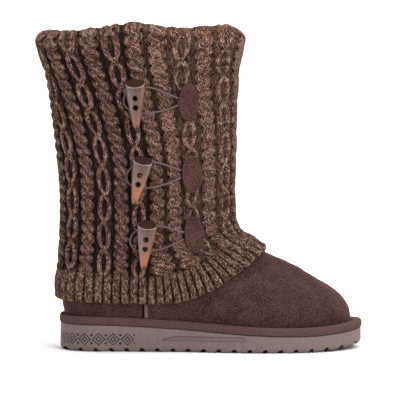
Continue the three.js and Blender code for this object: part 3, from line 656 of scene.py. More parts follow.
def finish_piece(piece: bpy.types.Object, nodes: Sequence[str], slot: str,
                 *materials: bpy.types.Material) -> None:
    """Dress a piece, let it stand for its CAD nodes and report it.

    Args:
        piece: The piece's object.
        nodes: The CAD nodes that it stands for.
        slot: Not used.
        materials: The piece's materials, in the order of its faces' numbers.
    """
    for material in materials:
        piece.data.materials.append(material)
    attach(piece, "root")
    if nodes:
        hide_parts(*nodes)
    LOG.info("%s: %d faces", piece.name, len(piece.data.polygons))


# Materials

def linear(code: str) -> tuple[float, float, float, float]:
    """Turn an sRGB hex colour to linear light: the standard curve, channel by channel.

    Args:
        code: Hex colour with its leading sign.

    Returns:
        Red, green, blue and a full alpha.
    """
    parts = [int(code[i:i + 2], 16) / 255 for i in (1, 3, 5)]
    red, green, blue = [p / 12.92 if p <= 0.04045 else ((p + 0.055) / 1.055) ** 2.4 for p in parts]
    return red, green, blue, 1.0


class Node(Enum):
    """The nodes that the finishes are made of: kind, output, inputs in their order, and settings."""

    PLACE = ("TexCoord", "Object", (), {})
    PATTERN = ("UVMap", 0, (), {"uv_map": "pattern"})
    MARK = ("Attribute", "Fac", (), {})
    SPLIT = ("SeparateXYZ", 0, (0,), {})
    JOIN = ("CombineXYZ", 0, (0, 1), {})
    NOISE = ("TexNoise", "Fac", ("Vector", "Scale", "Detail", "Roughness"), {})
    CELLS = ("TexWhiteNoise", "Value", ("Vector",), {})
    SPREAD = ("MapRange", 0, ("Value", "From Min", "From Max", "To Min", "To Max"), {})
    RAMP = ("ValToRGB", "Color", ("Fac",), {})
    BLEND = ("Mix", 2, (0, 6, 7), {"data_type": "RGBA"})
    BUMP = ("Bump", "Normal", ("Height", "Distance", "Strength"), {})
    VECTOR = ("VectorMath", 0, (0, 1), {})
    LENGTH = ("VectorMath", "Value", (0,), {"operation": "LENGTH"})
    PLUS = ("Math", 0, (0, 1), {"operation": "ADD"})
    LESS = ("Math", 0, (0, 1), {"operation": "SUBTRACT"})
    TIMES = ("Math", 0, (0, 1), {"operation": "MULTIPLY"})
    OVER = ("Math", 0, (0, 1), {"operation": "DIVIDE"})
    POWER = ("Math", 0, (0, 1), {"operation": "POWER"})
    MOST = ("Math", 0, (0, 1), {"operation": "MAXIMUM"})
    ABOVE = ("Math", 0, (0, 1), {"operation": "GREATER_THAN"})
    BELOW = ("Math", 0, (0, 1), {"operation": "LESS_THAN"})
    SINE = ("Math", 0, (0,), {"operation": "SINE"})
    SIZE = ("Math", 0, (0,), {"operation": "ABSOLUTE"})
    FRACTION = ("Math", 0, (0,), {"operation": "FRACT"})
    WHOLE = ("Math", 0, (0,), {"operation": "FLOOR"})


def per(size: float) -> float:
    """The scale of a noise whose bumps lie so many millimetres apart."""
    return 1 / (size * MM)


class Sheet:
    """A material in the making: its tree, its shader and the small function that adds a node."""

    def __init__(self, name: str) -> None:
        """Start a material that holds a shader and an output.

        Args:
            name: The material's name: what the real one is.
        """
        self.material = bpy.data.materials.new(name)
        self.material.use_nodes = True
        self.tree = self.material.node_tree
        self.tree.nodes.clear()
        self.shader = self.tree.nodes.new("ShaderNodeBsdfPrincipled")
        surface = self.tree.nodes.new("ShaderNodeOutputMaterial").inputs["Surface"]
        self.feed(surface, self.shader.outputs[0])
        self.place = self.add(Node.PLACE)

    def feed(self, socket: bpy.types.NodeSocket, value: object) -> None:
        """Link an input to an output, or set it to a value.

        Args:
            socket: The input.
            value: The output that feeds it, or its value.
        """
        if isinstance(value, bpy.types.NodeSocket):
            self.tree.links.new(value, socket)
        else:
            socket.default_value = value

    def add(self, what: Node, *values: object, stops: Sequence[tuple[float, str]] = (),
            **settings: object) -> bpy.types.NodeSocket:
        """Add a node, set it and feed its inputs.

        Args:
            what: The node's kind, with its output and the order of its inputs.
            *values: A value or another node's output for each of its first inputs.
            stops: A ramp's colours: places from 0 to 1, rising, and sRGB hex colours.
            **settings: The node's own properties.

        Returns:
            The node's output.
        """
        kind, output, inputs, fixed = what.value
        node = self.tree.nodes.new(f"ShaderNode{kind}")
        for name, value in {**fixed, **settings}.items():
            setattr(node, name, value)
        for name, value in zip(inputs, values):
            self.feed(node.inputs[name], value)
        while stops and len(node.color_ramp.elements) < len(stops):
            node.color_ramp.elements.new(0.5)
        for point, (where, code) in zip(node.color_ramp.elements if stops else (), stops):
            point.position, point.color = where, linear(code)
        return node.outputs[output]

    def pattern(self) -> tuple[bpy.types.NodeSocket, bpy.types.NodeSocket]:
        """The piece's two pattern coordinates, from its own UV map."""
        split = self.add(Node.SPLIT, self.add(Node.PATTERN)).node
        return split.outputs[0], split.outputs[1]

    def done(self, **sockets: object) -> bpy.types.Material:
        """Feed the shader.

        Args:
            **sockets: Its inputs, named with underscores for spaces.

        Returns:
            The finished material.
        """
        for name, value in sockets.items():
            self.feed(self.shader.inputs[name.replace("_", " ")], value)
        return self.material


@dataclass(frozen=True)
class HeatherYarn:
    """Heathered acrylic and wool yarn, knitted: V stitches whose legs vary from dark brown to tan."""

    shadow: str = "#080403"
    dark: str = "#2e1c18"
    body: str = "#725246"
    light: str = "#b8907d"
    fleck: str = "#eccdb9"
    fibre: float = 0.7

    def material(self) -> bpy.types.Material:
        """Stitches from the pattern coordinates: one unit across is a stitch, one unit up is a row.

        A stitch's legs rise as a half sine over the row, slanted by the way out from its middle. Each leg
        takes a tone of its own, and noise stands for the fibres, coarser than real ones so that it shows.
        Shade is painted in: the colour runs to the shadow colour in the gaps between the legs, and where
        the piece's depth mark, which carries painted shade, is low.

        Returns:
            The material.
        """
        sheet = Sheet("heathered_wool_blend_knit")
        add = sheet.add
        across, up = sheet.pattern()
        leg = add(Node.SIZE, add(Node.LESS, add(Node.FRACTION, across), 0.5))
        leg = add(Node.TIMES, leg, 2.0)
        slanted = add(Node.LESS, up, leg)
        crown = add(Node.SINE, add(Node.TIMES, add(Node.FRACTION, slanted), math.pi))
        limb = add(Node.SINE, add(Node.TIMES, leg, math.pi))
        stitch = add(Node.TIMES, crown, add(Node.SPREAD, limb, 0.0, 0.8, 0.2, 1.0))
        fibre = add(Node.NOISE, sheet.place, per(self.fibre), 3.0, 0.7)
        height = add(Node.PLUS, stitch, add(Node.TIMES, fibre, 0.9))
        half = add(Node.WHOLE, add(Node.TIMES, across, 2.0))
        own = add(Node.CELLS, add(Node.JOIN, half, add(Node.WHOLE, slanted)))
        patch = add(Node.SPREAD, add(Node.NOISE, sheet.place, per(0.8), 2.0, 0.75), 0.32, 0.68)
        tone = add(Node.PLUS, add(Node.SPREAD, own, 0.0, 1.0, 0.08, 0.5), add(Node.TIMES, patch, 0.42))
        colour = add(Node.RAMP, tone, stops=[
            (0.18, self.dark), (0.46, self.body), (0.68, self.light), (0.9, self.fleck)])
        # Painted shade: where the depth mark is low in furrows, and in the gaps between the legs, the shadow
        # colour is blended in
        depth = add(Node.MARK, attribute_name="depth")
        shade = add(Node.TIMES, add(Node.SPREAD, stitch, 0.12, 0.6, 0.0, 1.25), depth)
        dressed = add(Node.BLEND, add(Node.SPREAD, shade, 0.0, 0.8), linear(self.shadow), colour)
        return sheet.done(Base_Color=dressed, Roughness=0.95, Sheen_Weight=0.08, Sheen_Roughness=0.5,
                          Sheen_Tint=linear("#a0806c"), Specular_IOR_Level=0.05,
                          Normal=add(Node.BUMP, height, 1.3 * MM, 1.0))


@dataclass(frozen=True)
class NappedSuede:
    """Cow suede, brushed: a short nap that turns light and dark in soft patches, and no gloss."""

    name: str = "brushed_cow_suede"
    dark: str = "#1d100e"
    body: str = "#35211d"
    light: str = "#593e36"

    def material(self, shaded: bool = False) -> bpy.types.Material:
        """Patches about 14 mm wide and grain 0.65 mm wide, coarser than a real nap so that it shows.

        Args:
            shaded: Whether the piece has a mark of painted shade, which darkens it where it is 0.

        Returns:
            The material.
        """
        sheet = Sheet(self.name)
        add = sheet.add
        cloud = add(Node.NOISE, sheet.place, per(14.0), 3.0)
        grain = add(Node.NOISE, sheet.place, per(0.65), 2.0, 0.7)
        tone = add(Node.PLUS, add(Node.SPREAD, cloud, 0.3, 0.7, -0.035, 0.035), grain)
        colour = add(Node.RAMP, add(Node.SPREAD, tone, 0.4, 0.6),
                     stops=[(0.0, self.dark), (0.5, self.body), (1.0, self.light)])
        if shaded:
            # Painted shade: near black where the shade mark is 0
            colour = add(Node.BLEND, add(Node.MARK, attribute_name="shade"), linear("#120a08"), colour)
        return sheet.done(Base_Color=colour, Roughness=0.92, Sheen_Weight=0.3, Sheen_Roughness=0.35,
                          Sheen_Tint=linear("#b0918a"), Specular_IOR_Level=0.1,
                          Normal=add(Node.BUMP, grain, 0.6 * MM, 0.9))


@dataclass(frozen=True)
class MouldedRubber:
    """Moulded TPR rubber: a mauve-grey matt skin with fine mottling and a pressed ornament at the heel."""

    body: str = "#7a6963"
    low: str = "#5a4c49"
    # Colour of the painted shade in the tread grooves and on the walls of the sunk bars
    shadow: str = "#0c0909"
    print_line: str = "#0c0808"
    print_from: float = 13.0
    print_to: float = 91.0
    print_low: float = 5.4
    print_high: float = 17.4
    print_cell: float = 13.0

    def material(self) -> bpy.types.Material:
        """The pattern coordinates are millimetres along the side and up. Diamonds with dots between.

        Returns:
            The material.
        """
        sheet = Sheet("moulded_tpr_rubber")
        add = sheet.add
        along, up = sheet.pattern()
        mottle = add(Node.NOISE, sheet.place, per(1.6), 4.0, 0.7)
        fine = add(Node.NOISE, sheet.place, per(0.35), 2.0)
        colour = add(Node.RAMP, add(Node.SPREAD, mottle, 0.25, 0.75),
                     stops=[(0.0, self.low), (1.0, self.body)])
        line = self._ornament(sheet, along, up)
        # Painted shade: the shadow colour blends in where the hollow mark is high
        colour = add(Node.BLEND, add(Node.MARK, attribute_name="hollow"), colour, linear(self.shadow))
        dark = add(Node.BLEND, line, colour, linear(self.print_line))
        relief = add(Node.LESS, add(Node.TIMES, fine, 0.2), add(Node.TIMES, line, 0.4))
        return sheet.done(Base_Color=dark, Roughness=0.62, Specular_IOR_Level=0.3,
                          Normal=add(Node.BUMP, relief, 0.8 * MM, 1.0))

    def _ornament(self, sheet: Sheet, along: object, up: object) -> bpy.types.NodeSocket:
        """Lines of a plain band: nested diamonds side by side with dots between them.

        Args:
            sheet: The material in the making.
            along: Distance along the side, in millimetres.
            up: Height above the tread, in millimetres.

        Returns:
            A socket that is 1 on the lines and 0 off them.
        """
        add = sheet.add
        middle, half = (self.print_low + self.print_high) / 2, (self.print_high - self.print_low) / 2
        cell = add(Node.LESS, add(Node.FRACTION, add(Node.OVER, along, self.print_cell)), 0.5)
        wide = add(Node.TIMES, add(Node.SIZE, cell), 2.0)
        tall = add(Node.SIZE, add(Node.OVER, add(Node.LESS, up, middle), half))
        reach = add(Node.PLUS, wide, tall)
        marks = []
        for size, thick in ((0.86, 0.09), (0.36, 0.09)):
            off = add(Node.SIZE, add(Node.LESS, reach, size))
            marks.append(add(Node.BELOW, off, thick))
        dot_x = add(Node.LESS, 1.0, wide)
        dot_up = add(Node.LESS, tall, 0.62)
        off = add(Node.PLUS, add(Node.POWER, dot_x, 2.0), add(Node.POWER, dot_up, 2.0))
        marks.append(add(Node.BELOW, off, 0.03))
        total = marks[0]
        for mark in marks[1:]:
            total = add(Node.MOST, total, mark)
        inside = add(Node.TIMES, add(Node.ABOVE, along, self.print_from),
                     add(Node.BELOW, along, self.print_to))
        level = add(Node.BELOW, tall, 1.0)
        return add(Node.TIMES, total, add(Node.TIMES, inside, level))


@dataclass(frozen=True)
class TwillTape:
    """Cotton twill tape: steep diagonal ribs, light on the crowns, with painted shade between them."""

    rib: float = 2.3
    furrow: str = "#140c0a"
    body: str = "#372622"
    crown: str = "#785d54"

    def material(self) -> bpy.types.Material:
        """The pattern coordinates are millimetres along the tape and across it.

        Returns:
            The material.
        """
        sheet = Sheet("cotton_twill_tape")
        add = sheet.add
        along, across = sheet.pattern()
        slant = add(Node.OVER, add(Node.PLUS, along, add(Node.TIMES, across, 0.9)), self.rib)
        phase = add(Node.FRACTION, slant)
        ridge = add(Node.SINE, add(Node.TIMES, phase, math.pi))
        pick = add(Node.FRACTION, add(Node.OVER, across, 0.9))
        pick = add(Node.SINE, add(Node.TIMES, pick, math.pi))
        fuzz = add(Node.NOISE, sheet.place, per(0.5), 3.0)
        ribbed = add(Node.TIMES, ridge, add(Node.SPREAD, pick, 0, 1, 0.6, 1.0))
        height = add(Node.PLUS, ribbed, add(Node.TIMES, fuzz, 0.4))
        # Painted shade: the colour runs to the furrow colour low between the ribs
        colour = add(Node.RAMP, add(Node.SPREAD, height, 0.25, 1.15),
                     stops=[(0.0, self.furrow), (0.5, self.body), (1.0, self.crown)])
        return sheet.done(Base_Color=colour, Roughness=0.9, Specular_IOR_Level=0.15,
                          Normal=add(Node.BUMP, height, 0.6 * MM, 0.9))


@dataclass(frozen=True)
class CastHorn:
    """Cast polyester made to look like horn: mauve-grey at the thick end, amber at the tip, polished."""

    tip: str = "#3a1a0d"
    point: str = "#7a4527"
    amber: tuple[str, str] = ("#8b4f2d", "#6a4638")
    brown: tuple[str, str] = ("#66402f", "#523a32")
    back: str = "#503830"
    root: str = "#38251e"
    # Colour of a painted highlight over the heel-side half of the toggle
    pale: str = "#827576"
    # Colour of a painted highlight along the toe-side edge
    edge: str = "#8d5d47"
    # Colour of a painted highlight just under the cut end
    rim: str = "#a58d84"

    def material(self, warm: float) -> bpy.types.Material:
        """Colour by the way along the toggle, with streaks 1.4 mm wide and about ten times as long.

        Args:
            warm: How far up the amber reaches, from 0 to 1.

        Returns:
            The material of one toggle.
        """
        sheet = Sheet("cast_polyester_horn")
        add = sheet.add
        across, along = sheet.pattern()
        stretched = add(Node.JOIN, add(Node.TIMES, across, 0.006), add(Node.TIMES, along, 0.004))
        streak = add(Node.NOISE, stretched, per(1.4), 3.0)
        way = add(Node.PLUS, along, add(Node.SPREAD, streak, 0.25, 0.75, -0.18, 0.18))
        horn, belly = self.amber if warm > 0.3 else self.brown
        colour = add(Node.RAMP, way, stops=[
            (0.0, self.tip), (0.07, self.point), (0.13 + 0.2 * warm, horn),
            (0.34 + 0.28 * warm, belly), (0.75, self.back), (1.0, self.root)])
        grain = add(Node.SPREAD, streak, 0.38, 0.6, 0.1, 1.0)
        # Painted highlight: the pale colour over the heel-side half, broken up by the streaks
        pale = add(Node.TIMES, add(Node.SPREAD, across, -1.3, 0.0, 0.85, 0.0), grain)
        dressed = add(Node.BLEND, pale, colour, linear(self.pale))
        # Painted highlight along the toe-side edge, in a warm colour
        edge = add(Node.SPREAD, across, 0.8, 1.25, 0.0, 0.45)
        dressed = add(Node.BLEND, edge, dressed, linear(self.edge))
        # Painted highlight in a narrow band just under the cut end
        rim = add(Node.SPREAD, along, 0.97, 0.985, 0.0, 0.4)
        dressed = add(Node.BLEND, rim, dressed, linear(self.rim))
        return sheet.done(Base_Color=dressed, Roughness=0.24, Specular_IOR_Level=0.3, Coat_Weight=0.1,
                          Coat_Roughness=0.05, Normal=add(Node.BUMP, streak, 0.12 * MM, 0.4))

    def sawn_end(self) -> bpy.types.Material:
        """The sawn end: dark brown and dull, with fine saw marks.

        Returns:
            The material.
        """
        sheet = Sheet("sawn_polyester_horn")
        add = sheet.add
        marks = add(Node.NOISE, sheet.place, per(0.9), 3.0)
        colour = add(Node.RAMP, marks, stops=[(0.3, "#1c0f0a"), (0.7, "#3f251a")])
        return sheet.done(Base_Color=colour, Roughness=0.85, Specular_IOR_Level=0.15,
                          Normal=add(Node.BUMP, marks, 0.2 * MM, 0.5))


@dataclass(frozen=True)
class BraidedElastic:
    """Round braided elastic: crossing yarns under a low sheen."""

    between: str = "#1c0e0c"
    yarn: str = "#5a3b36"

    def material(self) -> bpy.types.Material:
        """Yarns about 1 mm apart that cross at a slant, in millimetres round and along.

        Returns:
            The material.
        """
        sheet = Sheet("braided_elastic_cord")
        add = sheet.add
        turn, run = sheet.pattern()
        left = add(Node.SINE, add(Node.TIMES, add(Node.PLUS, turn, run), 4.5))
        right = add(Node.SINE, add(Node.TIMES, add(Node.LESS, turn, run), 4.5))
        height = add(Node.MOST, left, right)
        # Painted shade: near black between the crossing yarns, where they dip
        colour = add(Node.RAMP, add(Node.SPREAD, height, -0.6, 1.0),
                     stops=[(0.0, self.between), (1.0, self.yarn)])
        return sheet.done(Base_Color=colour, Roughness=0.38, Specular_IOR_Level=0.7,
                          Normal=add(Node.BUMP, height, 0.12 * MM, 0.6))


@dataclass(frozen=True)
class PileFleece:
    """Polyester pile fleece: pale tufts without gloss."""

    depth: str = "#8a7560"
    tuft: str = "#c9b49a"

    def material(self) -> bpy.types.Material:
        """Tufts about 3 mm across.

        Returns:
            The material.
        """
        sheet = Sheet("polyester_pile_fleece")
        add = sheet.add
        tuft = add(Node.NOISE, sheet.place, per(3.0), 4.0, 0.7)
        colour = add(Node.RAMP, add(Node.SPREAD, tuft, 0.3, 0.7),
                     stops=[(0.0, self.depth), (1.0, self.tuft)])
        return sheet.done(Base_Color=colour, Roughness=1.0, Sheen_Weight=0.4,
                          Specular_IOR_Level=0.1, Normal=add(Node.BUMP, tuft, 1.6 * MM, 0.8))


@dataclass(frozen=True)
class SewingThread:
    """Twisted polyester sewing thread with a slight sheen."""

    dark: str = "#3c2926"
    light: str = "#513a35"

    def material(self) -> bpy.types.Material:
        """A fine mottle stands for the twist, which is too fine to show.

        Returns:
            The material.
        """
        sheet = Sheet("polyester_sewing_thread")
        add = sheet.add
        mottle = add(Node.NOISE, sheet.place, per(0.6), 2.0)
        colour = add(Node.RAMP, mottle, stops=[(0.2, self.dark), (0.8, self.light)])
        return sheet.done(Base_Color=colour, Roughness=0.55, Normal=add(Node.BUMP, mottle, 0.1 * MM, 0.5))


# Sub-assemblies

@dataclass
class WedgeSole:
    """The outsole: a wedge with a rounded tread edge, cross grooves and a sunk bar in each side."""

    form: BootForm
    grooves: int = 20
    groove_width: float = 4.6
    groove_depth: float = 3.1
    first_groove: float = 5.5
    bevel: float = 3.7
    rim: float = 0.9
    bar_from: float = 0.335
    bar_to: float = 0.612
    bar_height: float = 4.4
    bar_depth: float = 1.2
    bar_level: float = 0.85
    bar_taper: float = 0.045
    bar_wall: float = 0.55
    outline_steps: int = 300
    side_rows: int = 44

    def groove_centres(self) -> Array:
        """Distances of the grooves from the back of the sole."""
        last = self.form.sole_length - self.first_groove
        return np.linspace(self.first_groove, last, self.grooves)

    def groove_rise(self, ahead: Array) -> Array:
        """How high a groove lifts the tread: a half circle on short straight walls.

        Args:
            ahead: Distances from the back of the sole.

        Returns:
            Heights, 0 between the grooves.
        """
        off = np.abs(ahead[..., None] - self.groove_centres()).min(axis=-1)
        half = self.groove_width / 2
        arch = self.groove_depth - half + np.sqrt(np.maximum(0, half ** 2 - off ** 2))
        return np.where(off < half, arch, 0)

    def shares(self) -> Array:
        """Places along the sole: even steps along its outline, and close ones at each groove's walls.

        Returns:
            Shares of the length, from 0 at the back to 1 at the toe.
        """
        fine = np.linspace(0, 1, 6001)
        x, y = self.form.sole_edge(fine, -1.0)
        run = np.concatenate([[0], np.cumsum(np.hypot(np.diff(x), np.diff(y)))])
        even = np.interp(np.linspace(0, run[-1], self.outline_steps), run, fine)
        half = self.groove_width / 2
        near = np.array([-1.01, -0.99, -0.8, -0.5, 0, 0.5, 0.8, 0.99, 1.01]) * half
        wall = (self.groove_centres()[:, None] + near).ravel() / self.form.sole_length
        places = np.unique(np.round(np.concatenate([even, wall]), 6))
        return places[(places >= 0) & (places <= 1)]

    def bar_sink(self, share: Array, height: Array) -> Array:
        """How deep the sunk bar lies: full depth inside its outline, with walls a little slanted.

        Args:
            share: Place along the sole, from 0 to 1.
            height: Height above the ground.

        Returns:
            Depth at each place.
        """
        grown = mix(0.15, 1.0, np.clip((share - self.bar_from) / self.bar_taper, 0, 1))
        middle = self.form.fore_stack * (self.bar_level - 0.16 * (1 - grown))
        edge = self.bar_height / 2 * grown - np.abs(height - middle)
        ends = np.minimum(share - self.bar_from, self.bar_to - share) * self.form.sole_length
        return self.bar_depth * smooth(np.minimum(edge, ends) / self.bar_wall)

    def build(self, rubber: bpy.types.Material) -> None:
        """Rings from the middle of the tread, round its edge, up the side and over the top face.

        Args:
            rubber: Material of the whole sole.
        """
        share = self.shares()
        both = np.concatenate([share, share[-2:0:-1]])
        side = np.concatenate([-np.ones(len(share)), np.ones(len(share) - 2)])
        ahead = both * self.form.sole_length
        rise = self.groove_rise(ahead)
        # The hollow mark is painted shade: 1 in the tread grooves, and highest midway down the walls of the
        # sunk bars
        rows, uv, hollow = [], [], []
        mirror = -np.arange(len(both)) % len(both)
        x_edge, y_edge = self.form.sole_edge(both, side)
        steps = np.hypot(np.diff(x_edge), np.diff(y_edge))
        run = np.concatenate([[0], np.cumsum(steps)])
        run = np.minimum(run, run[-1] - run)

        def ring(inset: Array, height: Array, dark: Array = 0.0) -> None:
            """Add a ring that follows the outline.

            Args:
                inset: How far inside the outline.
                height: Height of the ring.
                dark: How much painted shade the rubber takes, from 0 to 1.
            """
            x, y = self.form.sole_edge(both, side, inset)
            rows.append(np.stack([x, y, height + 0 * x], -1))
            uv.append(np.stack([run, height + 0 * x], -1))
            hollow.append(dark + 0 * x)

        base = self.form.spring(x_edge)
        middle_y = self.form.ball_width * self.form.centre(both)
        for reach in (0.0, 0.5):
            x, y = self.form.sole_edge(both, side, self.bevel)
            x = mix((x + x[mirror]) / 2, x, reach)
            rows.append(np.stack([x, mix(middle_y, y, reach), self.form.spring(x) + rise], -1))
            uv.append(np.stack([run, rise], -1))
            hollow.append(np.where(rise > 0, 1.0, 0.0))
        for angle in np.linspace(0, math.pi / 2, 7):
            inset = self.bevel * (1 - math.sin(angle))
            lift = self.bevel * (1 - math.cos(angle))
            ring(inset, base + np.maximum(lift, rise), np.where(rise > lift, 1.0, 0.0))
        top = self.form.sole_top(x_edge)
        for level in np.linspace(0, 1, self.side_rows)[1:-1]:
            height = mix(base + self.bevel, top - self.rim, level)
            sunk = self.bar_sink(both, height) / self.bar_depth
            ring(self.bar_depth * sunk, height, 2.6 * sunk * (1 - sunk))
        for angle in np.linspace(0, math.pi / 2, 4):
            ring(self.rim * (1 - math.cos(angle)), top - self.rim * (1 - math.sin(angle)))
        for reach in (0.5, 0.0):
            x, y = self.form.sole_edge(both, side, self.rim)
            x = mix((x + x[mirror]) / 2, x, reach)
            rows.append(np.stack([x, mix(middle_y, y, reach), self.form.sole_top(x)], -1))
            uv.append(np.stack([run, top], -1))
            hollow.append(0 * x)
        piece = grid_object("outsole_rubber", np.array(rows), np.array(uv), closed=False,
                            marks={"hollow": np.array(hollow)})
        weld(piece)
        finish_piece(piece, ["outsole"], "rubber", rubber)


@dataclass
class EdgeBinding:
    """Twill tape wrapped round the top of the sole, closed against the foot."""

    form: BootForm
    height: float = BINDING_HEIGHT
    proud: float = 0.7
    face_row: int = 8
    face_column: int = 90
    columns: int = 720

    def build(self, tape: bpy.types.Material) -> None:
        """A rounded profile between the foot's surface and the sole's outline, carried round.

        Args:
            tape: Material of the binding.
        """
        form = self.form
        turn = np.arange(self.columns) / self.columns
        foot = form.foot_line(turn)
        base = form.shell(turn, foot)
        back, front = form.sections["back"](foot), form.sections["front"](foot)
        share = np.clip((base[:, 0] - back) / (front - back), 0, 1)
        side = np.where(turn <= 0.5, -1.0, 1.0)
        edge_x, edge_y = form.sole_edge(share, side, -self.proud)
        out, rise = [Curve(BINDING_PROFILE["way"], BINDING_PROFILE[name]) for name in ("out", "rise")]
        rows = []
        for t in np.linspace(0, 1, 22):
            inner = form.off(turn, foot + rise(t) * self.height, form.gap)
            x = mix(inner[:, 0], edge_x, out(t))
            y = mix(inner[:, 1], edge_y, out(t))
            rows.append(np.stack([x, y, form.sole_top(x) + form.gap + rise(t) * self.height], -1))
        for t in (0.75, 0.0):
            point = form.off(turn, foot + t * self.height, form.gap)
            point[:, 2] = form.sole_top(point[:, 0]) + form.gap + t * self.height
            rows.append(point)
        rows = np.array(rows)
        run, across = run_along(rows[self.face_row]), run_along(rows[:, self.face_column])
        uv = np.stack(np.broadcast_arrays(run[None, :], across[:, None]), -1)
        piece = grid_object("twill_binding", rows, uv)
        finish_piece(piece, ["binding"], "twill", tape)


@dataclass
class SuedeUpper:
    """The hollow upper: suede foot, inner shaft and fleece lining, with its insole and side seams."""

    form: BootForm
    columns: int = 384
    insole: float = 5.0
    seam_at: float = 0.284
    seam_width: float = 5.0
    seam_height: float = 1.8
    crown_at: float = 0.35
    flex_scale: float = 275.0
    most_relief: float = 0.45
    under_knit: float = 9.0
    foot_rows: int = 96

    def creases(self, points: Array) -> Array:
        """Relief of the worn-in foot, in millimetres: soft dents and a few shallow flex lines.

        Each flex line is a trough with a low ridge on its heel side, across the ball of the foot, that
        fades towards the sole. Long soft waves lie over the whole foot.

        Args:
            points: Places on the foot.

        Returns:
            How far out each place moves.
        """
        along = self.form.along(points[..., 0])
        height = points[..., 2]
        total = 0.35 * wave_noise(points, 46.0, 1) + 0.12 * wave_noise(points, 17.0, 2)
        for at, slant, depth in zip(*FLEX_LINES.values()):
            off = along - at - slant * (height - 50) - 0.004 * wave_noise(points, 30.0, 3)
            off = off * self.flex_scale
            line = -np.exp(-(off / 2.6) ** 2) + 0.6 * np.exp(-((off + 5.2) / 3.4) ** 2)
            fade = smooth((height - 32) / 18)
            total = total + depth * line * fade
        return np.minimum(total, self.most_relief)

    def build(self, suede: bpy.types.Material, fleece: bpy.types.Material,
              strip: bpy.types.Material) -> None:
        """A closed wall: up the outside from the sole to the collar, and down the inside.

        Args:
            suede: Material of the outer face.
            fleece: Material of the lining and the insole.
            strip: Material of the seam strips.
        """
        form = self.form
        turn = np.arange(self.columns) / self.columns
        foot, hem = form.foot_line(turn), form.hem_line(turn)
        band, top = form.band_line(turn, form.hem_band), form.collar_line(turn)
        covered = hem + self.under_knit
        levels = [mix(foot, covered, t) for t in np.linspace(0, 1, self.foot_rows)]
        levels += [mix(covered, band, t) for t in (0.4, 1.0)]
        levels += [mix(band, top, t) for t in (0.04, 0.08, 0.16, 0.24, 0.4, 0.55, 0.7, 0.82, 0.91, 1.0)]
        outer = np.array([form.shell(turn, level) for level in levels])
        relief = self.creases(outer)
        hidden = self.foot_rows - 2
        relief[hidden:] = np.minimum(relief[hidden:], 0)
        outer += form.facing(turn[None], np.array(levels)) * relief[..., None]
        pick = list(range(0, self.foot_rows, 6)) + list(range(self.foot_rows, len(levels)))
        inner = np.array([form.off(turn, levels[i], -form.upper_wall) for i in pick])
        inner[0, :, 2] = form.sole_top(inner[0, :, 0]) + form.gap
        inner[-1, :, 2] = top
        rows = np.concatenate([outer, inner[::-1]])
        piece = grid_object("suede_upper", rows)
        inside = np.zeros(len(piece.data.polygons), np.int32)
        inside[(len(outer) - 1) * self.columns:] = 1
        piece.data.polygons.foreach_set("material_index", inside)
        finish_piece(piece, ["upper"], "suede", suede, fleece)
        self._insole(turn, foot, fleece)
        for side, name in ((-1, "side_seam_outer"), (1, "side_seam_inner")):
            self._seam(side, name, strip)

    def _insole(self, turn: Array, foot: Array, fleece: bpy.types.Material) -> None:
        """A slab with a soft top edge, as rings from the middle of its underside to that of its top.

        Args:
            turn: Ways round the boot, one for each column.
            foot: Height at which the upper stands on the sole, column by column.
            fleece: Material of the cover.
        """
        form = self.form

        def ring(inset: float, rise: float) -> Array:
            """A ring inside the upper's wall.

            Args:
                inset: How far inside the slab's own edge.
                rise: Height above the sole.

            Returns:
                The ring's points.
            """
            point = form.off(turn, foot + rise, -(form.upper_wall + 2 * form.gap + inset))
            point[:, 2] = form.sole_top(point[:, 0]) + form.gap + rise
            return point

        rings = [ring(0, 0), ring(0, 3.4), ring(0.5, 4.5), ring(1.8, self.insole)]
        low, high = lid_rows(rings[0], 12)[::-1], lid_rows(rings[-1], 30)
        for lid, rise in ((low, 0.0), (high, self.insole)):
            lid[..., 2] = form.sole_top(lid[..., 0]) + form.gap + rise
        tuft = wave_noise(high, 5.0, 8) * 0.3 - 0.3
        high[..., 2] += tuft
        rows = np.concatenate([low, np.array(rings), high])
        slab = grid_object("fleece_insole", rows, closed=False)
        weld(slab)
        finish_piece(slab, ["insole"], "fleece", fleece)

    def _seam(self, side: int, name: str, suede: bpy.types.Material) -> None:
        """A raised strip with a stitched groove on each side of its crown, from hem to binding.

        Args:
            side: -1 on the outer side and 1 on the inner.
            name: The strip's node.
            suede: Material of the strip.
        """
        form = self.form
        x = form.back + self.seam_at * form.sole_length
        low = form.sole_top(np.array([x]))[0] + BINDING_HEIGHT + 3 * form.gap
        start = form.turn_at(x, form.sole_top(np.array([x]))[0], side)
        high = form.hem_line(np.atleast_1d(start))[0] - 2 * form.gap
        heights = np.linspace(low, high, 40)
        t = np.linspace(-1, 1, 25)
        ahead = -side * t
        off_crown = ahead - self.crown_at
        crown = np.sqrt(np.maximum(0, 1 - np.abs(off_crown / 0.62) ** 3))
        crown = np.where(ahead > -0.25, crown, 0.08)
        crown = crown - 0.14 * np.exp(-(off_crown / 0.12) ** 2)
        centre = form.turn_at(np.full(len(heights), x), heights, side)
        step = form.slope_turn
        fore, aft = form.shell(centre + step, heights), form.shell(centre - step, heights)
        reach = np.linalg.norm(fore - aft, axis=-1)
        turn = centre[:, None] + t[None] * (step * self.seam_width / reach)[:, None]
        level = np.broadcast_to(heights[:, None], turn.shape)
        knots = 0.12 * np.sin(2 * math.pi * heights / 2.6)[:, None]
        lift = self.seam_height * np.maximum(crown[None] * (1 + knots), 0.02)
        front = form.off(turn, level, form.gap + lift)
        back = form.off(turn, level, np.full(turn.shape, form.gap))[:, ::-1]
        rows = np.concatenate([front, back], axis=1)
        middle = rows.mean(axis=1, keepdims=True)
        rows = np.concatenate([mix(rows[:1], middle[:1], 1.0), rows, mix(rows[-1:], middle[-1:], 1.0)])
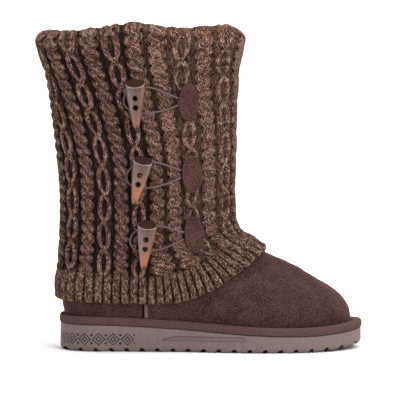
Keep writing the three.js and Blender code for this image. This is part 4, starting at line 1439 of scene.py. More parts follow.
        # Painted shade for the strip: 0 in the low gap on its heel side and 0.6 in the stitched groove on
        # its crown
        lit = np.where(ahead < -0.2, 0.0, np.where(np.abs(off_crown) < 0.1, 0.6, 1.0))
        shade = np.concatenate([lit, np.ones(len(t))])
        marks = {"shade": np.broadcast_to(shade, rows.shape[:2])}
        piece = grid_object(f"{name}_strip", rows, closed=False, marks=marks)
        weld(piece)
        finish_piece(piece, [name], "suede", suede)


class Cable(Enum):
    """How the strands of a cable run."""

    ROPE = 0
    CHAIN = 1


@dataclass
class KnitSleeve:
    """The cable-knit sleeve: ribbed hem, ropes and chains up the leg, and a turned collar."""

    form: BootForm
    cables: int = 24
    phase: float = 0.4
    wall: float = 3.8
    rib_relief: float = 2.2
    hem_flare: float = 1.4
    collar_bulge: float = 2.8
    facing_wall: float = 4.0
    sink: float = 2.1
    ribs: int = 60
    plumb_below: float = 150.0
    plumb_to: float = 43.0
    pitch: float = 17.6
    rope_turn: float = 20.0
    link: float = 26.0
    crossing: float = 8.0
    patch_seat: float = 6.75
    rope_half: float = 3.9
    rope_sway: float = 3.5
    rope_lift: float = 1.3
    rope_round: float = 2.0
    rope_over: float = 1.15
    panel_half: float = 7.7
    bed_half: float = 7.9
    chain_half: float = 2.35
    chain_apart: float = 2.5
    chain_bow: float = 2.3
    chain_lift: float = 1.6
    chain_round: float = 2.2
    chain_over: float = 0.7
    plain_rise: float = 2.9
    fold_arc: float = 18.0
    facing_run: float = 32.0
    fold_rows: int = 24
    hem_rows: int = 34
    low_rows: int = 122
    high_rows: int = 124
    sway: float = 0.45
    drift: float = 0.9
    stagger: float = 5.3
    worn_from: float = 0.26
    worn_soft: float = 0.05
    worn_most: float = 2.7
    band_soft: float = 11.0
    fold_soft: float = 15.0
    bulge_share: float = 0.16
    lip_in: float = 3.4
    lip_height: float = 2.8
    swell_width: float = 0.085
    press_across: float = 9.4
    press_up: float = 18.6
    facing_from: float = 0.82
    overlap: float = 4.0
    # Rows at the start of the collar fold that take painted light, and how much lighter they are
    lit_rows: int = 14
    lit_gain: float = 1.5
    stitch: float = 2.6
    row: float = 2.0
    swell: float = 2.8
    columns: int = 720

    def kinds(self) -> Array:
        """Which way each cable is worked, from the back by the outer side.

        Returns:
            The value of each one's Cable: 0 for a rope and 1 for a chain.
        """
        kinds = [Cable.CHAIN if k % 2 == 0 else Cable.ROPE for k in range(8)]
        kinds += [Cable.ROPE] + [Cable.CHAIN if k % 2 else Cable.ROPE for k in range(9, self.cables)]
        return np.array([kind.value for kind in kinds])

    @staticmethod
    def strand(x: Array, centre: Array, half: float) -> Array:
        """A strand's round back: the square root of one less the square of the way off its centre."""
        return np.sqrt(np.maximum(0, 1 - ((x - centre) / half) ** 2))

    def rope(self, x: Array, t: Array, bed: Array) -> tuple[Array, Array]:
        """Two strands that wind round each other: their centres follow sine waves half a turn apart.

        Args:
            x: Distance across the cable, in millimetres.
            t: Distance up it, in millimetres.
            bed: Height of the knit between the strands.

        Returns:
            The height of the nearer strand and the place across it, from -1 to 1.
        """
        half = self.rope_half
        best, place = np.zeros_like(x), np.zeros_like(x)
        for j in range(2):
            angle = 2 * math.pi * t / self.rope_turn + math.pi * j
            centre = -self.rope_sway * np.sin(angle)
            back = self.strand(x, centre, half)
            height = self.rope_lift + self.rope_round * back + self.rope_over * np.cos(angle) * back
            height = np.where(back > 0, height, 0)
            nearer = height > best
            best, place = np.where(nearer, height, best), np.where(nearer, (x - centre) / half, place)
        panel = bed * np.sqrt(np.maximum(0, 1 - (x / self.panel_half) ** 8))
        return np.maximum(best, panel), place

    def chain(self, x: Array, t: Array) -> tuple[Array, Array]:
        """Two strands that cross and then part round an open link.

        Over the crossing their centres follow a cosine from one side to the other, one strand above the
        other. Over the link they bow outwards by the root of a half sine, so that its sides are long.

        Args:
            x: Distance across the cable, in millimetres.
            t: Distance up it, in millimetres.

        Returns:
            The height of the nearer strand and the place across it, from -1 to 1.
        """
        half, apart, bow = self.chain_half, self.chain_apart, self.chain_bow
        way = t % self.link
        number = np.floor(t / self.link)
        over = way < self.crossing
        cross = np.cos(math.pi * way / self.crossing)
        bulge = np.sin(math.pi * (way - self.crossing) / (self.link - self.crossing))
        best, place = np.zeros_like(x), np.zeros_like(x)
        for j in (1, -1):
            centre = np.where(over, j * apart * cross, -j * (apart + bow * np.sqrt(np.maximum(bulge, 0))))
            above = np.where(over, np.sin(math.pi * way / self.crossing) * j, 0) * (1 - 2 * (number % 2))
            back = self.strand(x, centre, half)
            height = self.chain_lift + self.chain_round * back + self.chain_over * above * back
            height = np.where(back > 0, height, 0)
            nearer = height > best
            best, place = np.where(nearer, height, best), np.where(nearer, (x - centre) / half, place)
        return best, place

    def leg_relief(self, turn: Array, t: Array) -> tuple[Array, Array]:
        """Height of the knit over its furrows and the stitches' place across, all over the leg.

        Args:
            turn: Shares of the way round.
            t: Distances up from the hem band, in millimetres.

        Returns:
            Heights in millimetres and pattern coordinates across, in stitches.
        """
        place = turn * self.cables + self.phase
        cable = np.round(place)
        x = (place - cable) * self.pitch
        cable = cable % self.cables
        x = x + self.sway * np.sin(t / 9.1 + 2.3 * cable)
        kind = self.kinds()[cable.astype(int)]
        t = t + self.stagger * (cable * 1.7 % 3.0) + self.drift * np.sin(t / 13.7 + 1.9 * cable)
        worn = smooth((turn - self.worn_from) / self.worn_soft) * smooth((1.0 - turn) / self.worn_soft)
        rope, rope_place = self.rope(x, t, mix(2.0, 2.6, worn))
        chain, chain_place = self.chain(x, t)
        is_chain = kind == Cable.CHAIN.value
        height = np.where(is_chain, chain, rope)
        across = np.where(is_chain, chain_place * 0.75, rope_place * 1.5) + 0.5
        flat = np.minimum(height, self.worn_most) + 0.3
        height = np.where(is_chain, height, mix(height, flat, 0.7 * worn))
        bed = np.sqrt(np.maximum(0, 1 - (x / self.bed_half) ** 8))
        ground = 0.25 + 0.95 * bed + worn * (1.25 - 0.6 * bed)
        across = np.where(height < ground, x / self.stitch, across) + 3 * cable
        return np.maximum(height, ground), across

    def rib_place(self, wale: Array) -> Array:
        """Number of ribs up to a column: they are evenly spaced along the hem's edge.

        Args:
            wale: Column of stitches, as a share of the way round.

        Returns:
            The number of ribs, with its fraction.
        """
        edge = self.form.shell(self.turn, self.hem)
        steps = np.linalg.norm(np.roll(edge, -1, axis=0) - edge, axis=-1)
        count = np.concatenate([[0], np.cumsum(steps)]) / steps.sum() * self.ribs
        at = np.append(self.wale(self.turn, self.hem), 1.0)
        return np.interp(wale, at, count)

    def rib_height(self, place: Array) -> tuple[Array, Array]:
        """Height of the hem's ribs, two stitches wide with a narrow deep furrow between them.

        Args:
            place: Number of ribs up to the column, with its fraction.

        Returns:
            The height and the place across the rib, from -1 to 1.
        """
        off = (place - np.round(place)) * 2
        back = np.sqrt(np.maximum(0, 1 - np.abs(off / 0.9) ** 3.2))
        crease = 0.4 * np.exp(-(off / 0.13) ** 2)
        return np.where(back > 0, 0.9 + 1.25 * self.rib_relief * back - crease, 0.1), off

    def wale(self, turn: Array, height: Array) -> Array:
        """Which column of stitches lies at a place, as a share of the way round.

        Low down the foot spreads forwards, but the columns behind the instep hang plumb: each keeps the
        distance along the boot that it has at one level of the leg. The columns ahead fan out evenly.

        Args:
            turn: Shares of the way round.
            height: Heights of the same places.

        Returns:
            Shares of the way round at the level where the columns start to hang.
        """
        form, knee, level = self.form, self.plumb_to, self.plumb_below
        x = form.shell(turn, height)[..., 0]
        ends = [(form.sections[end](height), form.sections[end](level)) for end in ("back", "front")]
        behind, ahead = [knee + (x - knee) * (at_level - knee) / (here - knee) for here, at_level in ends]
        flat = np.where(x < knee, behind, ahead)
        share = np.linspace(0, 0.5, 500)
        outer = np.interp(flat, form.shell(share, level)[:, 0], share)
        inner = 1 - np.interp(flat, form.shell(1 - share, level)[:, 0], share)
        plumb = np.where(turn <= 0.5, outer, inner)
        return mix(turn, plumb, smooth((level - height) / 25.0))

    def outside(self, turn: Array, height: Array) -> tuple[Array, Array, Array]:
        """How far the knit's face stands off the upper, from the hem to the collar's fold.

        Args:
            turn: Shares of the way round, rows by columns.
            height: Heights of the same grid.

        Returns:
            The plain distance off the upper, the relief over it and the stitches' places across.
        """
        form = self.form
        run = self.run_up(height)
        wale = self.wale(turn, height)
        leg, across = self.leg_relief(wale, run - form.hem_band)
        rib_place = self.rib_place(wale)
        rib, rib_across = self.rib_height(rib_place)
        in_band = 1 - smooth((run - form.hem_band) / self.band_soft + 0.5)
        near_top = smooth(1 - (self.top - height) / self.fold_soft)
        in_fold = mix(0.6, 0.3, smooth((turn - 0.2) / 0.06)) * near_top
        relief = mix(mix(leg, rib, in_band), self.plain(turn), in_fold)
        flare = self.hem_flare * (1 - smooth((height - self.hem) / (self.band - self.hem)))
        bulge = smooth(1 - (self.top - height) / (self.bulge_share * form.shaft_height))
        bulge = self.collar_bulge * bulge
        scallop = 0.8 * np.cos(2 * math.pi * rib_place)
        lip = -self.lip_in * smooth(1 - (run - scallop) / self.lip_height) ** 2
        across = np.where(in_band > 0.5, rib_across * 1.5 + 0.5 + 3 * np.round(rib_place), across)
        points = form.shell(turn, height)
        sag = 0.3 * wave_noise(points, 60.0, 5)
        at_front = np.exp(-((turn - 0.5) / self.swell_width) ** 2)
        at_back = np.exp(-(np.minimum(turn, 1 - turn) / self.swell_width) ** 2)
        swell = self.swell * (at_front + 0.75 * at_back) * smooth((run - 4) / 14)
        distance = form.gap + self.wall - self.sink + flare + bulge + lip + sag + swell
        over = np.maximum(0, distance + relief - self.patch_seat) * self.under_patch(turn, points)
        return distance, relief - over, across

    def under_patch(self, turn: Array, points: Array) -> Array:
        """1 where a patch presses the knit flat and 0 away from the patches, with a soft edge.

        Args:
            turn: Way round the boot, from 0 to 1.
            points: Places on the knit.

        Returns:
            The share by which each place is pressed.
        """
        form, pressed = self.form, np.zeros(turn.shape)
        for place in FASTENINGS:
            ahead = points[..., 0] - form.back - place.patch_along * form.sole_length
            up = points[..., 2] - form.bend - place.patch_level * form.shaft_height
            slant = math.radians(place.patch_turn)
            across = ahead * math.cos(slant) + up * math.sin(slant)
            tall = up * math.cos(slant) - ahead * math.sin(slant)
            reach = np.hypot(across / self.press_across, tall / self.press_up)
            pressed = np.maximum(pressed, smooth((1.12 - reach) / 0.12) * (turn < 0.5))
        return pressed

    def plain(self, turn: Array) -> Array:
        """Relief of plain knit: a low wave, one for each wale."""
        return self.plain_rise + 0.3 * np.sin(2 * math.pi * turn * self.cables * 5)

    def fold(self) -> tuple[Array, Array, Array, Array]:
        """The turned edge: half an ellipse over the upper's edge, then the facing down inside.

        The cables fade out over the fold, and their relief stands square to the ellipse.

        Returns:
            Points, relief, places across and distances up the knit of the fold's and facing's rows.
        """
        form, turn = self.form, self.turn
        distance, _, _ = self.outside(turn[None], self.top[None])
        start, inside = distance[0] + self.plain_rise, -(form.upper_wall + form.gap + self.facing_wall)
        run = self.run_up(self.top[None])[0]
        plain, plain_across = self.plain(turn), turn * self.cables * 5
        strips = []
        for t in np.linspace(0, 1, self.fold_rows)[1:]:
            angle, arc = math.pi * t, self.fold_arc * t
            leg, across = self.leg_relief(turn, run + arc - form.hem_band)
            relief = mix(mix(leg, plain, 0.3), plain, smooth(np.array((arc - 6) / 9.0)))
            over = relief - self.plain_rise + 0.5 * math.sin(angle)
            out = (start + inside) / 2 + ((start - inside) / 2 + over) * math.cos(angle)
            point = form.off(turn, self.top, out)
            point[:, 2] += (form.fold_rise + over) * math.sin(angle)
            strips.append((point, relief, np.where(arc > 8, plain_across, across), run + arc))
        for t in np.linspace(0, 1, self.fold_rows)[1:]:
            height = mix(self.top, mix(self.band, self.top, self.facing_from), t)
            point = form.off(turn, height, inside - plain + self.plain_rise)
            strips.append((point, plain, plain_across, run + self.fold_arc + self.facing_run * t))
        return tuple(np.array(part) for part in zip(*strips))

    def run_up(self, height: Array) -> Array:
        """Distance up the surface from the knit's lower edge, read from a table of columns."""
        return np.stack([np.interp(height[:, i], self.run_heights[:, i], self.runs[:, i])
                         for i in range(self.columns)], axis=1)

    def prepare(self) -> None:
        """Work out each column's edge heights and how far up the surface each height lies."""
        form = self.form
        self.turn = np.arange(self.columns) / self.columns
        self.hem = form.hem_line(self.turn)
        self.band = form.band_line(self.turn, form.hem_band)
        self.top = form.collar_line(self.turn)
        steps = np.linspace(0, 1, 220)[:, None]
        self.run_heights = mix(self.hem[None], self.top[None] + 12, steps)
        self.runs = run_along(form.shell(self.turn[None], self.run_heights))

    @staticmethod
    def lifted(relief: Array, reach: float) -> Array:
        """How far each point stands above its surroundings: its height less their mean.

        The mean is weighted by a bell curve, worked out in waves over the grid and its mirror image, so
        that both edges match.

        Args:
            relief: Heights, rows by columns that close on themselves.
            reach: Width of the bell, in cells.

        Returns:
            Differences, above 0 on crests and below 0 in furrows.
        """
        doubled = np.concatenate([relief, relief[::-1]])
        rows = np.fft.fftfreq(doubled.shape[0])[:, None]
        columns = np.fft.rfftfreq(doubled.shape[1])[None, :]
        bell = np.exp(-2 * (math.pi * reach) ** 2 * (rows ** 2 + columns ** 2))
        mean = np.fft.irfft2(np.fft.rfft2(doubled) * bell, s=doubled.shape)[:len(relief)]
        return relief - mean

    def build(self, yarn: bpy.types.Material) -> None:
        """Hem, two halves of the leg and the collar, each closed and meeting its neighbour.

        Args:
            yarn: Material of the whole sleeve.
        """
        self.prepare()
        form = self.form
        overlap = form.band_line(self.turn, form.hem_band - self.overlap)
        middle = mix(overlap, self.top, 0.48)
        parts = [mix(low[None], high[None], np.linspace(0, 1, count)[:, None]) for low, high, count in
                 ((self.hem, overlap, self.hem_rows), (overlap, middle, self.low_rows),
                  (middle, self.top, self.high_rows))]
        heights = np.concatenate([parts[0], parts[1][1:], parts[2][1:]])
        turn = np.broadcast_to(self.turn, heights.shape)
        distance, relief, across = self.outside(turn, heights)
        outer = form.off(turn, heights, distance + relief)
        fold, fold_relief, fold_across, fold_up = self.fold()
        every = np.concatenate([relief, fold_relief])
        # Painted shade for the yarn's depth mark: low in furrows and between strands, high on crests; the
        # hem band is darkened more
        shade = 0.24 * every - 0.03
        for weight, reach in ((0.15, 4.5), (0.16, 1.6)):
            shade = shade + weight * self.lifted(every, reach)
        from_hem = self.run_up(heights)
        shade[:len(heights)] *= mix(0.76, 1.0, smooth((from_hem - form.hem_band) / self.band_soft + 0.5))
        shade = np.clip(shade, 0.05, 1.0)
        # Painted light on the rim: the first rows of the collar fold are made lighter
        shade[len(heights):len(heights) + self.lit_rows] *= self.lit_gain
        rows_up = np.mean(from_hem[-1]) / from_hem[-1]
        up = np.concatenate([from_hem, fold_up]) * rows_up / self.row
        uv = np.stack([np.concatenate([across, fold_across]), up], -1)
        count = len(heights)
        low_end = self.hem_rows + self.low_rows - 1
        cuts = {"knit_hem": (0, self.hem_rows), "knit_leg_low": (self.hem_rows - 1, low_end),
                "knit_leg_high": (low_end - 1, count)}
        for name, (first, last) in cuts.items():
            inner_rows = np.linspace(last - 1, first, 8).round().astype(int)
            gap = np.where(inner_rows == 0, form.gap + 0.4, form.gap)[:, None]
            inner = form.off(turn[inner_rows], heights[inner_rows], gap + 0 * turn[inner_rows])
            self._piece(name, outer[first:last], inner, uv[first:last], shade[first:last], yarn)
        rows = np.concatenate([outer[count - 1:count], fold])
        inner, lining = [], -(form.upper_wall + form.gap)
        for t in (1.0, 0.5, 0.0):
            height = mix(self.top, mix(self.band, self.top, self.facing_from), t)
            inner.append(form.off(self.turn, height, np.full(self.columns, lining)))
        for out in (lining, form.gap):
            point = form.off(self.turn, self.top, np.full(self.columns, out))
            inner.append(point + [0, 0, form.gap if out < 0 else 2 * form.gap])
        self._piece("knit_collar", rows, np.array(inner), uv[count - 1:], shade[count - 1:], yarn)

    def _piece(self, name: str, outer: Array, inner: Array, uv: Array, shade: Array,
               yarn: bpy.types.Material) -> None:
        """One closed band of the sleeve from its outer and inner rows, dressed in the yarn.

        Args:
            name: The band's name.
            outer: Rows of the outer face.
            inner: Rows of the inner face.
            uv: Stitch and row of each place of the outer face.
            shade: Painted shade and light of each place of the outer face, 0 deep in a furrow.
            yarn: Material of the band.
        """
        pad = np.zeros(inner.shape[:2])
        pattern = np.concatenate([uv, np.stack([pad, pad], -1)])
        # The depth mark carries the painted shade to the yarn
        marks = {"depth": np.concatenate([shade, pad])}
        piece = grid_object(name, np.concatenate([outer, inner]), pattern, marks=marks)
        finish_piece(piece, ["knit_sleeve"], "yarn", yarn)


@dataclass(frozen=True)
class Fastening:
    """Where one toggle, its loop and its patch lie, as shares along the sole and up the shaft.

    Turns are in degrees, and warm says how far up the toggle its amber reaches.
    """

    toggle_along: float
    toggle_level: float
    toggle_turn: float
    patch_along: float
    patch_level: float
    patch_turn: float
    warm: float


FASTENINGS = (
    Fastening(0.258, 0.662, 1.5, 0.42, 0.686, 0.0, 0.25),
    Fastening(0.266, 0.274, -11.5, 0.429, 0.32, 2.0, 0.75),
    Fastening(0.285, -0.052, -5.0, 0.438, 0.006, 9.0, 0.35),
)
LOOP_ROUTE = {
    "ahead": [-0.4, -5, -11, -18, -25, -32, -39, -44.5, -46.6, -44.8, -39, -31, -23, -15, -7, -0.4],
    "up": [3.2, 5.4, 8.2, 11.2, 13.2, 13.4, 11.6, 7.4, 1.8, -3.8, -8.2, -9.8, -9.5, -8.2, -5.8, -3.2],
}


@dataclass
class ToggleFastenings:
    """The three toggles with their cord loops and patches, laid on the knit."""

    form: BootForm
    crest: float = 6.55
    knit_gap: float = 0.5
    length: float = 39.0
    width: float = 17.2
    thickness: float = 10.0
    hole: float = 4.9
    saw_rise: float = 1.5
    saw_slant: float = 7.2
    holes_at: tuple[float, float] = (0.485, 0.7)
    cord: float = 1.8
    patch_length: float = 34.6
    patch_width: float = 16.4
    channel: float = 0.915
    stitches: int = 34
    thread: float = 0.6

    def over(self, x: Array, height: Array, distance: Array) -> Array:
        """Points over the knit's cables on the outer side."""
        turn = self.form.turn_at(x, height)
        return self.form.off(turn, height + 0 * turn, self.crest + distance + 0 * turn)

    def spot(self, along: float, level: float) -> tuple[float, float]:
        """Distance along the boot and height of a place given as shares."""
        form = self.form
        return form.back + along * form.sole_length, form.bend + level * form.shaft_height

    def route(self, place: Fastening) -> Array:
        """The cord's points, from the patch's edge round behind the toggle and back.

        Args:
            place: The fastening whose cord it is.

        Returns:
            The points in order.
        """
        _, toggle_z = self.spot(place.toggle_along, place.toggle_level)
        patch_x, patch_z = self.spot(place.patch_along, place.patch_level)
        edge = patch_x - self.patch_width / 2 - self.form.gap
        ahead, up = np.array(LOOP_ROUTE["ahead"]), np.array(LOOP_ROUTE["up"])
        share = np.clip(ahead / ahead.min(), 0, 1)
        height = mix(patch_z, toggle_z + 4.0, share) + up
        return self.over(edge + ahead, height, self.knit_gap + self.cord / 2)

    def build(self, horn: CastHorn, elastic: bpy.types.Material, suede: bpy.types.Material,
              thread: bpy.types.Material) -> None:
        """Make each toggle, loop and patch from the top down.

        Args:
            horn: Finish of the toggles.
            elastic: Material of the loops.
            suede: Material of the patches.
            thread: Material of the stitches.
        """
        for number, place in enumerate(FASTENINGS, 1):
            path = self._smooth_path(self.route(place))
            self._cord(number, path, elastic)
            self._toggle(number, place, path, horn.material(place.warm), horn.sawn_end())
            self._patch(number, place, suede, thread)

    @staticmethod
    def _smooth_path(route: Array) -> Array:
        """A denser path through the route's points, by a cubic that passes through each.

        Args:
            route: The points that the path goes through.

        Returns:
            The points of the path.
        """
        padded = np.concatenate([2 * route[:1] - route[1:2], route, 2 * route[-1:] - route[-2:-1]])
        place = np.linspace(0, len(route) - 1 - 1e-6, 170)
        i = place.astype(int)
        weights = BootForm._cubic(place - i)
        return sum(w[:, None] * padded[i + k] for k, w in enumerate(weights))

    def _cord(self, number: int, path: Array, elastic: bpy.types.Material) -> None:
        """The loop as a round cord.

        Args:
            number: Number of the fastening.
            path: Points of the cord's middle line.
            elastic: Material of the cord.
        """
        points, uv = tube(path, self.cord / 2, 16)
        piece = grid_object(f"elastic_loop_{number}", points, uv, closed=False)
        weld(piece)
        finish_piece(piece, [f"cord_loop_{number}"], "cord", elastic)

    def _toggle(self, number: int, place: Fastening, path: Array, horn: bpy.types.Material,
                sawn: bpy.types.Material) -> None:
        """A tapered horn with a slanted cut and two drilled holes, laid against cord and cables.

        The section is an ellipse whose half width and thickness follow two curves along the length.

        Args:
            number: Number of the fastening.
            place: The fastening's sizes and place.
            path: Points of the cord's middle line.
            horn: Material of the toggle.
            sawn: Material of its cut end.
        """
        wide, thick = [Curve(TOGGLE_TAPER["way"], TOGGLE_TAPER[name]) for name in ("wide", "thick")]
        t = np.unique(np.concatenate([np.linspace(0, 0.08, 14), np.linspace(0.08, 0.97, 44),
                                      np.linspace(0.97, 1, 7)]))
        angle = np.linspace(0, 2 * math.pi, 56, endpoint=False)
        ahead = wide(t)[:, None] * self.width / 2 * np.cos(angle)
        out = -thick(t)[:, None] * self.thickness / 2 * np.sin(angle)
        slant = (self.saw_rise - out / self.thickness * self.saw_slant) * smooth((t - 0.8) / 0.2)[:, None]
        up = (t[:, None] - 0.5) * self.length + slant
        local = np.stack([ahead, up, out], -1)
        cap = lid_rows(local[-1], 8)
        tip = lid_rows(local[0], 2)[::-1]
        rows = np.concatenate([tip, local, cap])
        ways = np.concatenate([[0, 0], t, np.ones(8)])
        uv = np.stack([rows[..., 0] / 6.0, ways[:, None] + 0 * rows[..., 0]], -1)
        piece = grid_object(f"horn_toggle_{number}", rows, uv, closed=False)
        ends = np.zeros(len(piece.data.polygons), np.int32)
        ends[(len(t) + 1) * len(angle):] = 1
        piece.data.polygons.foreach_set("material_index", ends)
        weld(piece)
        for material in (horn, sawn):
            piece.data.materials.append(material)
        self._drill(piece)
        self._lay(piece, place, path)
        finish_piece(piece, [f"toggle_{number}"], "horn")

    def _drill(self, piece: bpy.types.Object) -> None:
        """Cut two round holes through the toggle.

        Args:
            piece: The toggle, lying along its own axis.
        """
        for share in self.holes_at:
            bpy.ops.mesh.primitive_cylinder_add(vertices=40, radius=self.hole / 2 * MM, depth=0.03,
                                                location=(0, (share - 0.5) * self.length * MM, 0))
            cutter = bpy.context.object
            cut = piece.modifiers.new("hole", "BOOLEAN")
            cut.operation, cut.solver, cut.object = "DIFFERENCE", "EXACT", cutter
            shaped = piece.evaluated_get(bpy.context.evaluated_depsgraph_get())
            made = bpy.data.meshes.new_from_object(shaped)
            piece.modifiers.clear()
            piece.data = made
            bpy.data.objects.remove(cutter)

    def _lay(self, piece: bpy.types.Object, place: Fastening, path: Array) -> None:
        """Turn the toggle to its place and rest it on the highest thing behind it.

        Args:
            piece: The toggle, lying along its own axis.
            place: The fastening's sizes and place.
            path: Points of the cord's middle line.
        """
        form = self.form
        x, z = self.spot(place.toggle_along, place.toggle_level)
        turn = form.turn_at(x, z)
        outward = form.facing(turn, np.array(z))
        middle = self.over(x, z, 0.0)
        ahead = unit(np.cross([0, 0, 1.0], outward))
        up = np.cross(outward, ahead)
        angle = 2 * math.pi * np.arange(12) / 12
        behind = self.over(x + self.width / 2 * np.cos(angle), z + self.length / 2 * np.sin(angle),
                           self.knit_gap - self.cord / 2)
        offset = path - middle
        near = path[(np.abs(offset @ ahead) < self.width) & (np.abs(offset @ up) < self.length / 2)]
        lift = ((np.concatenate([behind, near]) - middle) @ outward).max() + self.cord / 2 + form.gap
        middle = middle + outward * (lift + self.thickness / 2)
        c, s = math.cos(math.radians(place.toggle_turn)), math.sin(math.radians(place.toggle_turn))
        basis = np.stack([c * ahead + s * up, -s * ahead + c * up, outward])
        count = len(piece.data.vertices)
        local = np.zeros(count * 3, np.float32)
        piece.data.vertices.foreach_get("co", local)
        placed = (local.reshape(-1, 3) / MM) @ basis + middle
        piece.data.vertices.foreach_set("co", (placed * MM).astype(np.float32).ravel())
        piece.data.update()

    def _oval(self, place: Fastening, size: Array, angle: Array, distance: Array) -> Array:
        """Points of an oval round the patch's middle, laid over the knit.

        Args:
            place: The fastening's sizes and place.
            size: Share of the patch's full size.
            angle: Way round the oval.
            distance: How far off the knit's cables.

        Returns:
            The points.
        """
        x, z = self.spot(place.patch_along, place.patch_level)
        ahead = size * self.patch_width / 2 * np.sin(angle)
        up = size * self.patch_length / 2 * np.cos(angle)
        c, s = math.cos(math.radians(place.patch_turn)), math.sin(math.radians(place.patch_turn))
        return self.over(x + ahead * c - up * s, z + ahead * s + up * c, distance)

    def _patch(self, number: int, place: Fastening, suede: bpy.types.Material,
               thread: bpy.types.Material) -> None:
        """An oval with a soft edge and a sewn channel, and the stitches that lie in it.

        Args:
            number: Number of the fastening.
            place: The fastening's sizes and place.
            suede: Material of the patch.
            thread: Material of the stitches.
        """
        angle = -np.linspace(0, 2 * math.pi, 96, endpoint=False)
        rings = [(0.0, 0.0), (0.4, 0.0), (0.75, 0.0), (0.98, 0.0), (1.0, 0.4), (1.0, 1.3), (0.985, 1.75),
                 (0.965, 1.9), (0.95, 1.88), (0.935, 1.7), (0.915, 1.6), (0.895, 1.7), (0.88, 1.9),
                 (0.8, 2.05), (0.6, 2.12), (0.4, 2.15), (0.25, 2.15), (0.12, 2.15), (0.0, 2.15)]
        rows = np.array([self._oval(place, np.full(96, size), angle, np.full(96, self.knit_gap + out))
                         for size, out in rings])
        rows[6:] += 0.1 * wave_noise(rows[6:], 4.0, 20 + number)[..., None] * [0, -1, 0]
        piece = grid_object(f"suede_patch_{number}", rows, closed=False)
        weld(piece)
        finish_piece(piece, [f"patch_{number}"], "patch_suede", suede)
        stitches, faces = [], []
        for k in range(self.stitches):
            middle = -2 * math.pi * (k + 0.5) / self.stitches
            span = middle + np.linspace(-0.062, 0.062, 7)
            arch = 1.5 + 0.75 * np.sin(np.linspace(0, math.pi, 7))
            path = self._oval(place, np.full(7, self.channel), span, self.knit_gap + arch)
            points, _ = tube(path, self.thread / 2, 6)
            faces.append(grid_faces(points.shape[0], 6, True, False) + k * points.shape[0] * 6)
            stitches.append(points.reshape(-1, 3))
        sewn = mesh_object(f"patch_stitching_{number}", np.concatenate(stitches), np.concatenate(faces))
        weld(sewn)
        finish_piece(sewn, [], "patch_suede", thread)


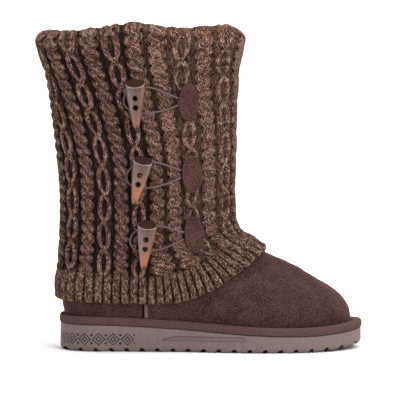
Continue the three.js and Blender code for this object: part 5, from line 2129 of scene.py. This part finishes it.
@dataclass
class Studio:
    """A pale floor, soft light from above and both sides, and the camera of the photograph."""

    distance: float = 2.2
    eye: float = 0.254
    ahead: float = 0.0873
    pitch: float = 3.1
    focal: float = 2416.0
    picture: float = 400.0
    sensor: float = 36.0
    aim: tuple[float, float, float] = (0.09, 0.0, 0.14)
    boot_middle: float = 0.098
    boot_half: float = 0.11
    floor_half: float = 14.0
    floor_back: float = 9.0
    bend_at: float = 4.0
    bend_round: float = 2.0

    def build(self) -> None:
        """Place the floor, lights, world and camera."""
        self._floor()
        self._light("key", (1.2, -1.3, 1.4), 38.0, 1.3)
        self._light("fill", (-1.4, -1.6, 0.8), 6.0, 1.4)
        self._light("top", (0.15, 0.25, 1.9), 33.0, 1.3)
        world = bpy.data.worlds.new("white_studio")
        world.use_nodes = True
        world.node_tree.nodes["Background"].inputs["Color"].default_value = (1, 1, 1, 1)
        world.node_tree.nodes["Background"].inputs["Strength"].default_value = 0.5
        scene = bpy.context.scene
        scene.world = world
        scene.view_settings.view_transform = "Standard"
        self._camera(scene)

    def _floor(self) -> None:
        """A wide white sweep that lies under the boot and rises far behind it in a quarter circle.

        It glows a little away from the boot, by the distance from a strip under it, and so stays white
        there, while the boot's soft shadow shows next to it.
        """
        s = np.linspace(-self.floor_half, self.floor_back, 150)
        past = s - self.bend_at
        bend = np.clip(past / self.bend_round, 0, math.pi / 2)
        depth = np.where(s < self.bend_at, s, self.bend_at + self.bend_round * np.sin(bend))
        rise = self.bend_round * (1 - np.cos(bend)) + np.maximum(0, past - self.bend_round * math.pi / 2)
        x = np.linspace(-self.floor_half, self.floor_half, 3)
        rows = np.stack(np.broadcast_arrays(x[None, :], depth[:, None], rise[:, None]), -1) / MM
        floor = mesh_object("white_sweep", rows, grid_faces(len(s), 3, False, False))
        sheet = Sheet("matt_white_paper")
        add = sheet.add
        near = sheet.place
        for step, by in (("SUBTRACT", self.boot_middle), ("ABSOLUTE", 0.0),
                         ("SUBTRACT", self.boot_half), ("MAXIMUM", 0.0)):
            near = add(Node.VECTOR, near, (by, 0, 0), operation=step)
        away = add(Node.LENGTH, near)
        glow = add(Node.SPREAD, away, 0.06, 0.3, 0.0, 0.6)
        floor.data.materials.append(sheet.done(Base_Color=linear("#f6f4f4"), Roughness=1.0,
                                               Specular_IOR_Level=0.0, Emission_Color=linear("#ffffff"),
                                               Emission_Strength=glow))
        floor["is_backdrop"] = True

    def _light(self, name: str, place: tuple[float, float, float], power: float, size: float) -> None:
        """A square soft light aimed at the boot.

        Args:
            name: Name of the light.
            place: Where it stands, in metres.
            power: Its power in watts.
            size: Length of its side in metres.
        """
        data = bpy.data.lights.new(name, "AREA")
        data.energy, data.size = power, size
        light = bpy.data.objects.new(name, data)
        light.location = place
        towards = Vector(self.aim) - Vector(place)
        light.rotation_euler = towards.to_track_quat("-Z", "Y").to_euler()
        bpy.context.scene.collection.objects.link(light)

    def _camera(self, scene: bpy.types.Scene) -> None:
        """A long lens at the collar's height, pitched down a little.

        Args:
            scene: The scene that is looked at.
        """
        data = bpy.data.cameras.new("camera")
        data.sensor_width = self.sensor
        data.lens = self.focal / self.picture * self.sensor
        data.clip_start, data.clip_end = 0.05, 50
        camera = bpy.data.objects.new("camera", data)
        camera.location = (self.ahead, -self.distance, self.eye)
        camera.rotation_euler = (math.radians(90 - self.pitch), 0, 0)
        scene.collection.objects.link(camera)
        scene.camera = camera


def write_size() -> None:
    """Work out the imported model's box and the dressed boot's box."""
    boxes = [[list(corner) for corner in box] for box in (CAD_BOX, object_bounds())]


def main() -> None:
    """Build the boot from the sole up, then the studio."""
    logging.basicConfig(level=logging.INFO, format="%(message)s")
    form = BootForm()
    suede = NappedSuede().material()
    fleece = PileFleece().material()
    WedgeSole(form).build(MouldedRubber().material())
    EdgeBinding(form).build(TwillTape().material())
    strip = NappedSuede("folded_suede_strip", "#4a352e", "#6b5248", "#8a6e60").material(shaded=True)
    SuedeUpper(form).build(suede, fleece, strip)
    KnitSleeve(form).build(HeatherYarn().material())
    patch = NappedSuede("split_suede_patch", "#1f110e", "#3a2521", "#5b4039").material()
    ToggleFastenings(form).build(CastHorn(), BraidedElastic().material(), patch, SewingThread().material())
    Studio().build()
    write_size()


if __name__ == "__main__":
    main()
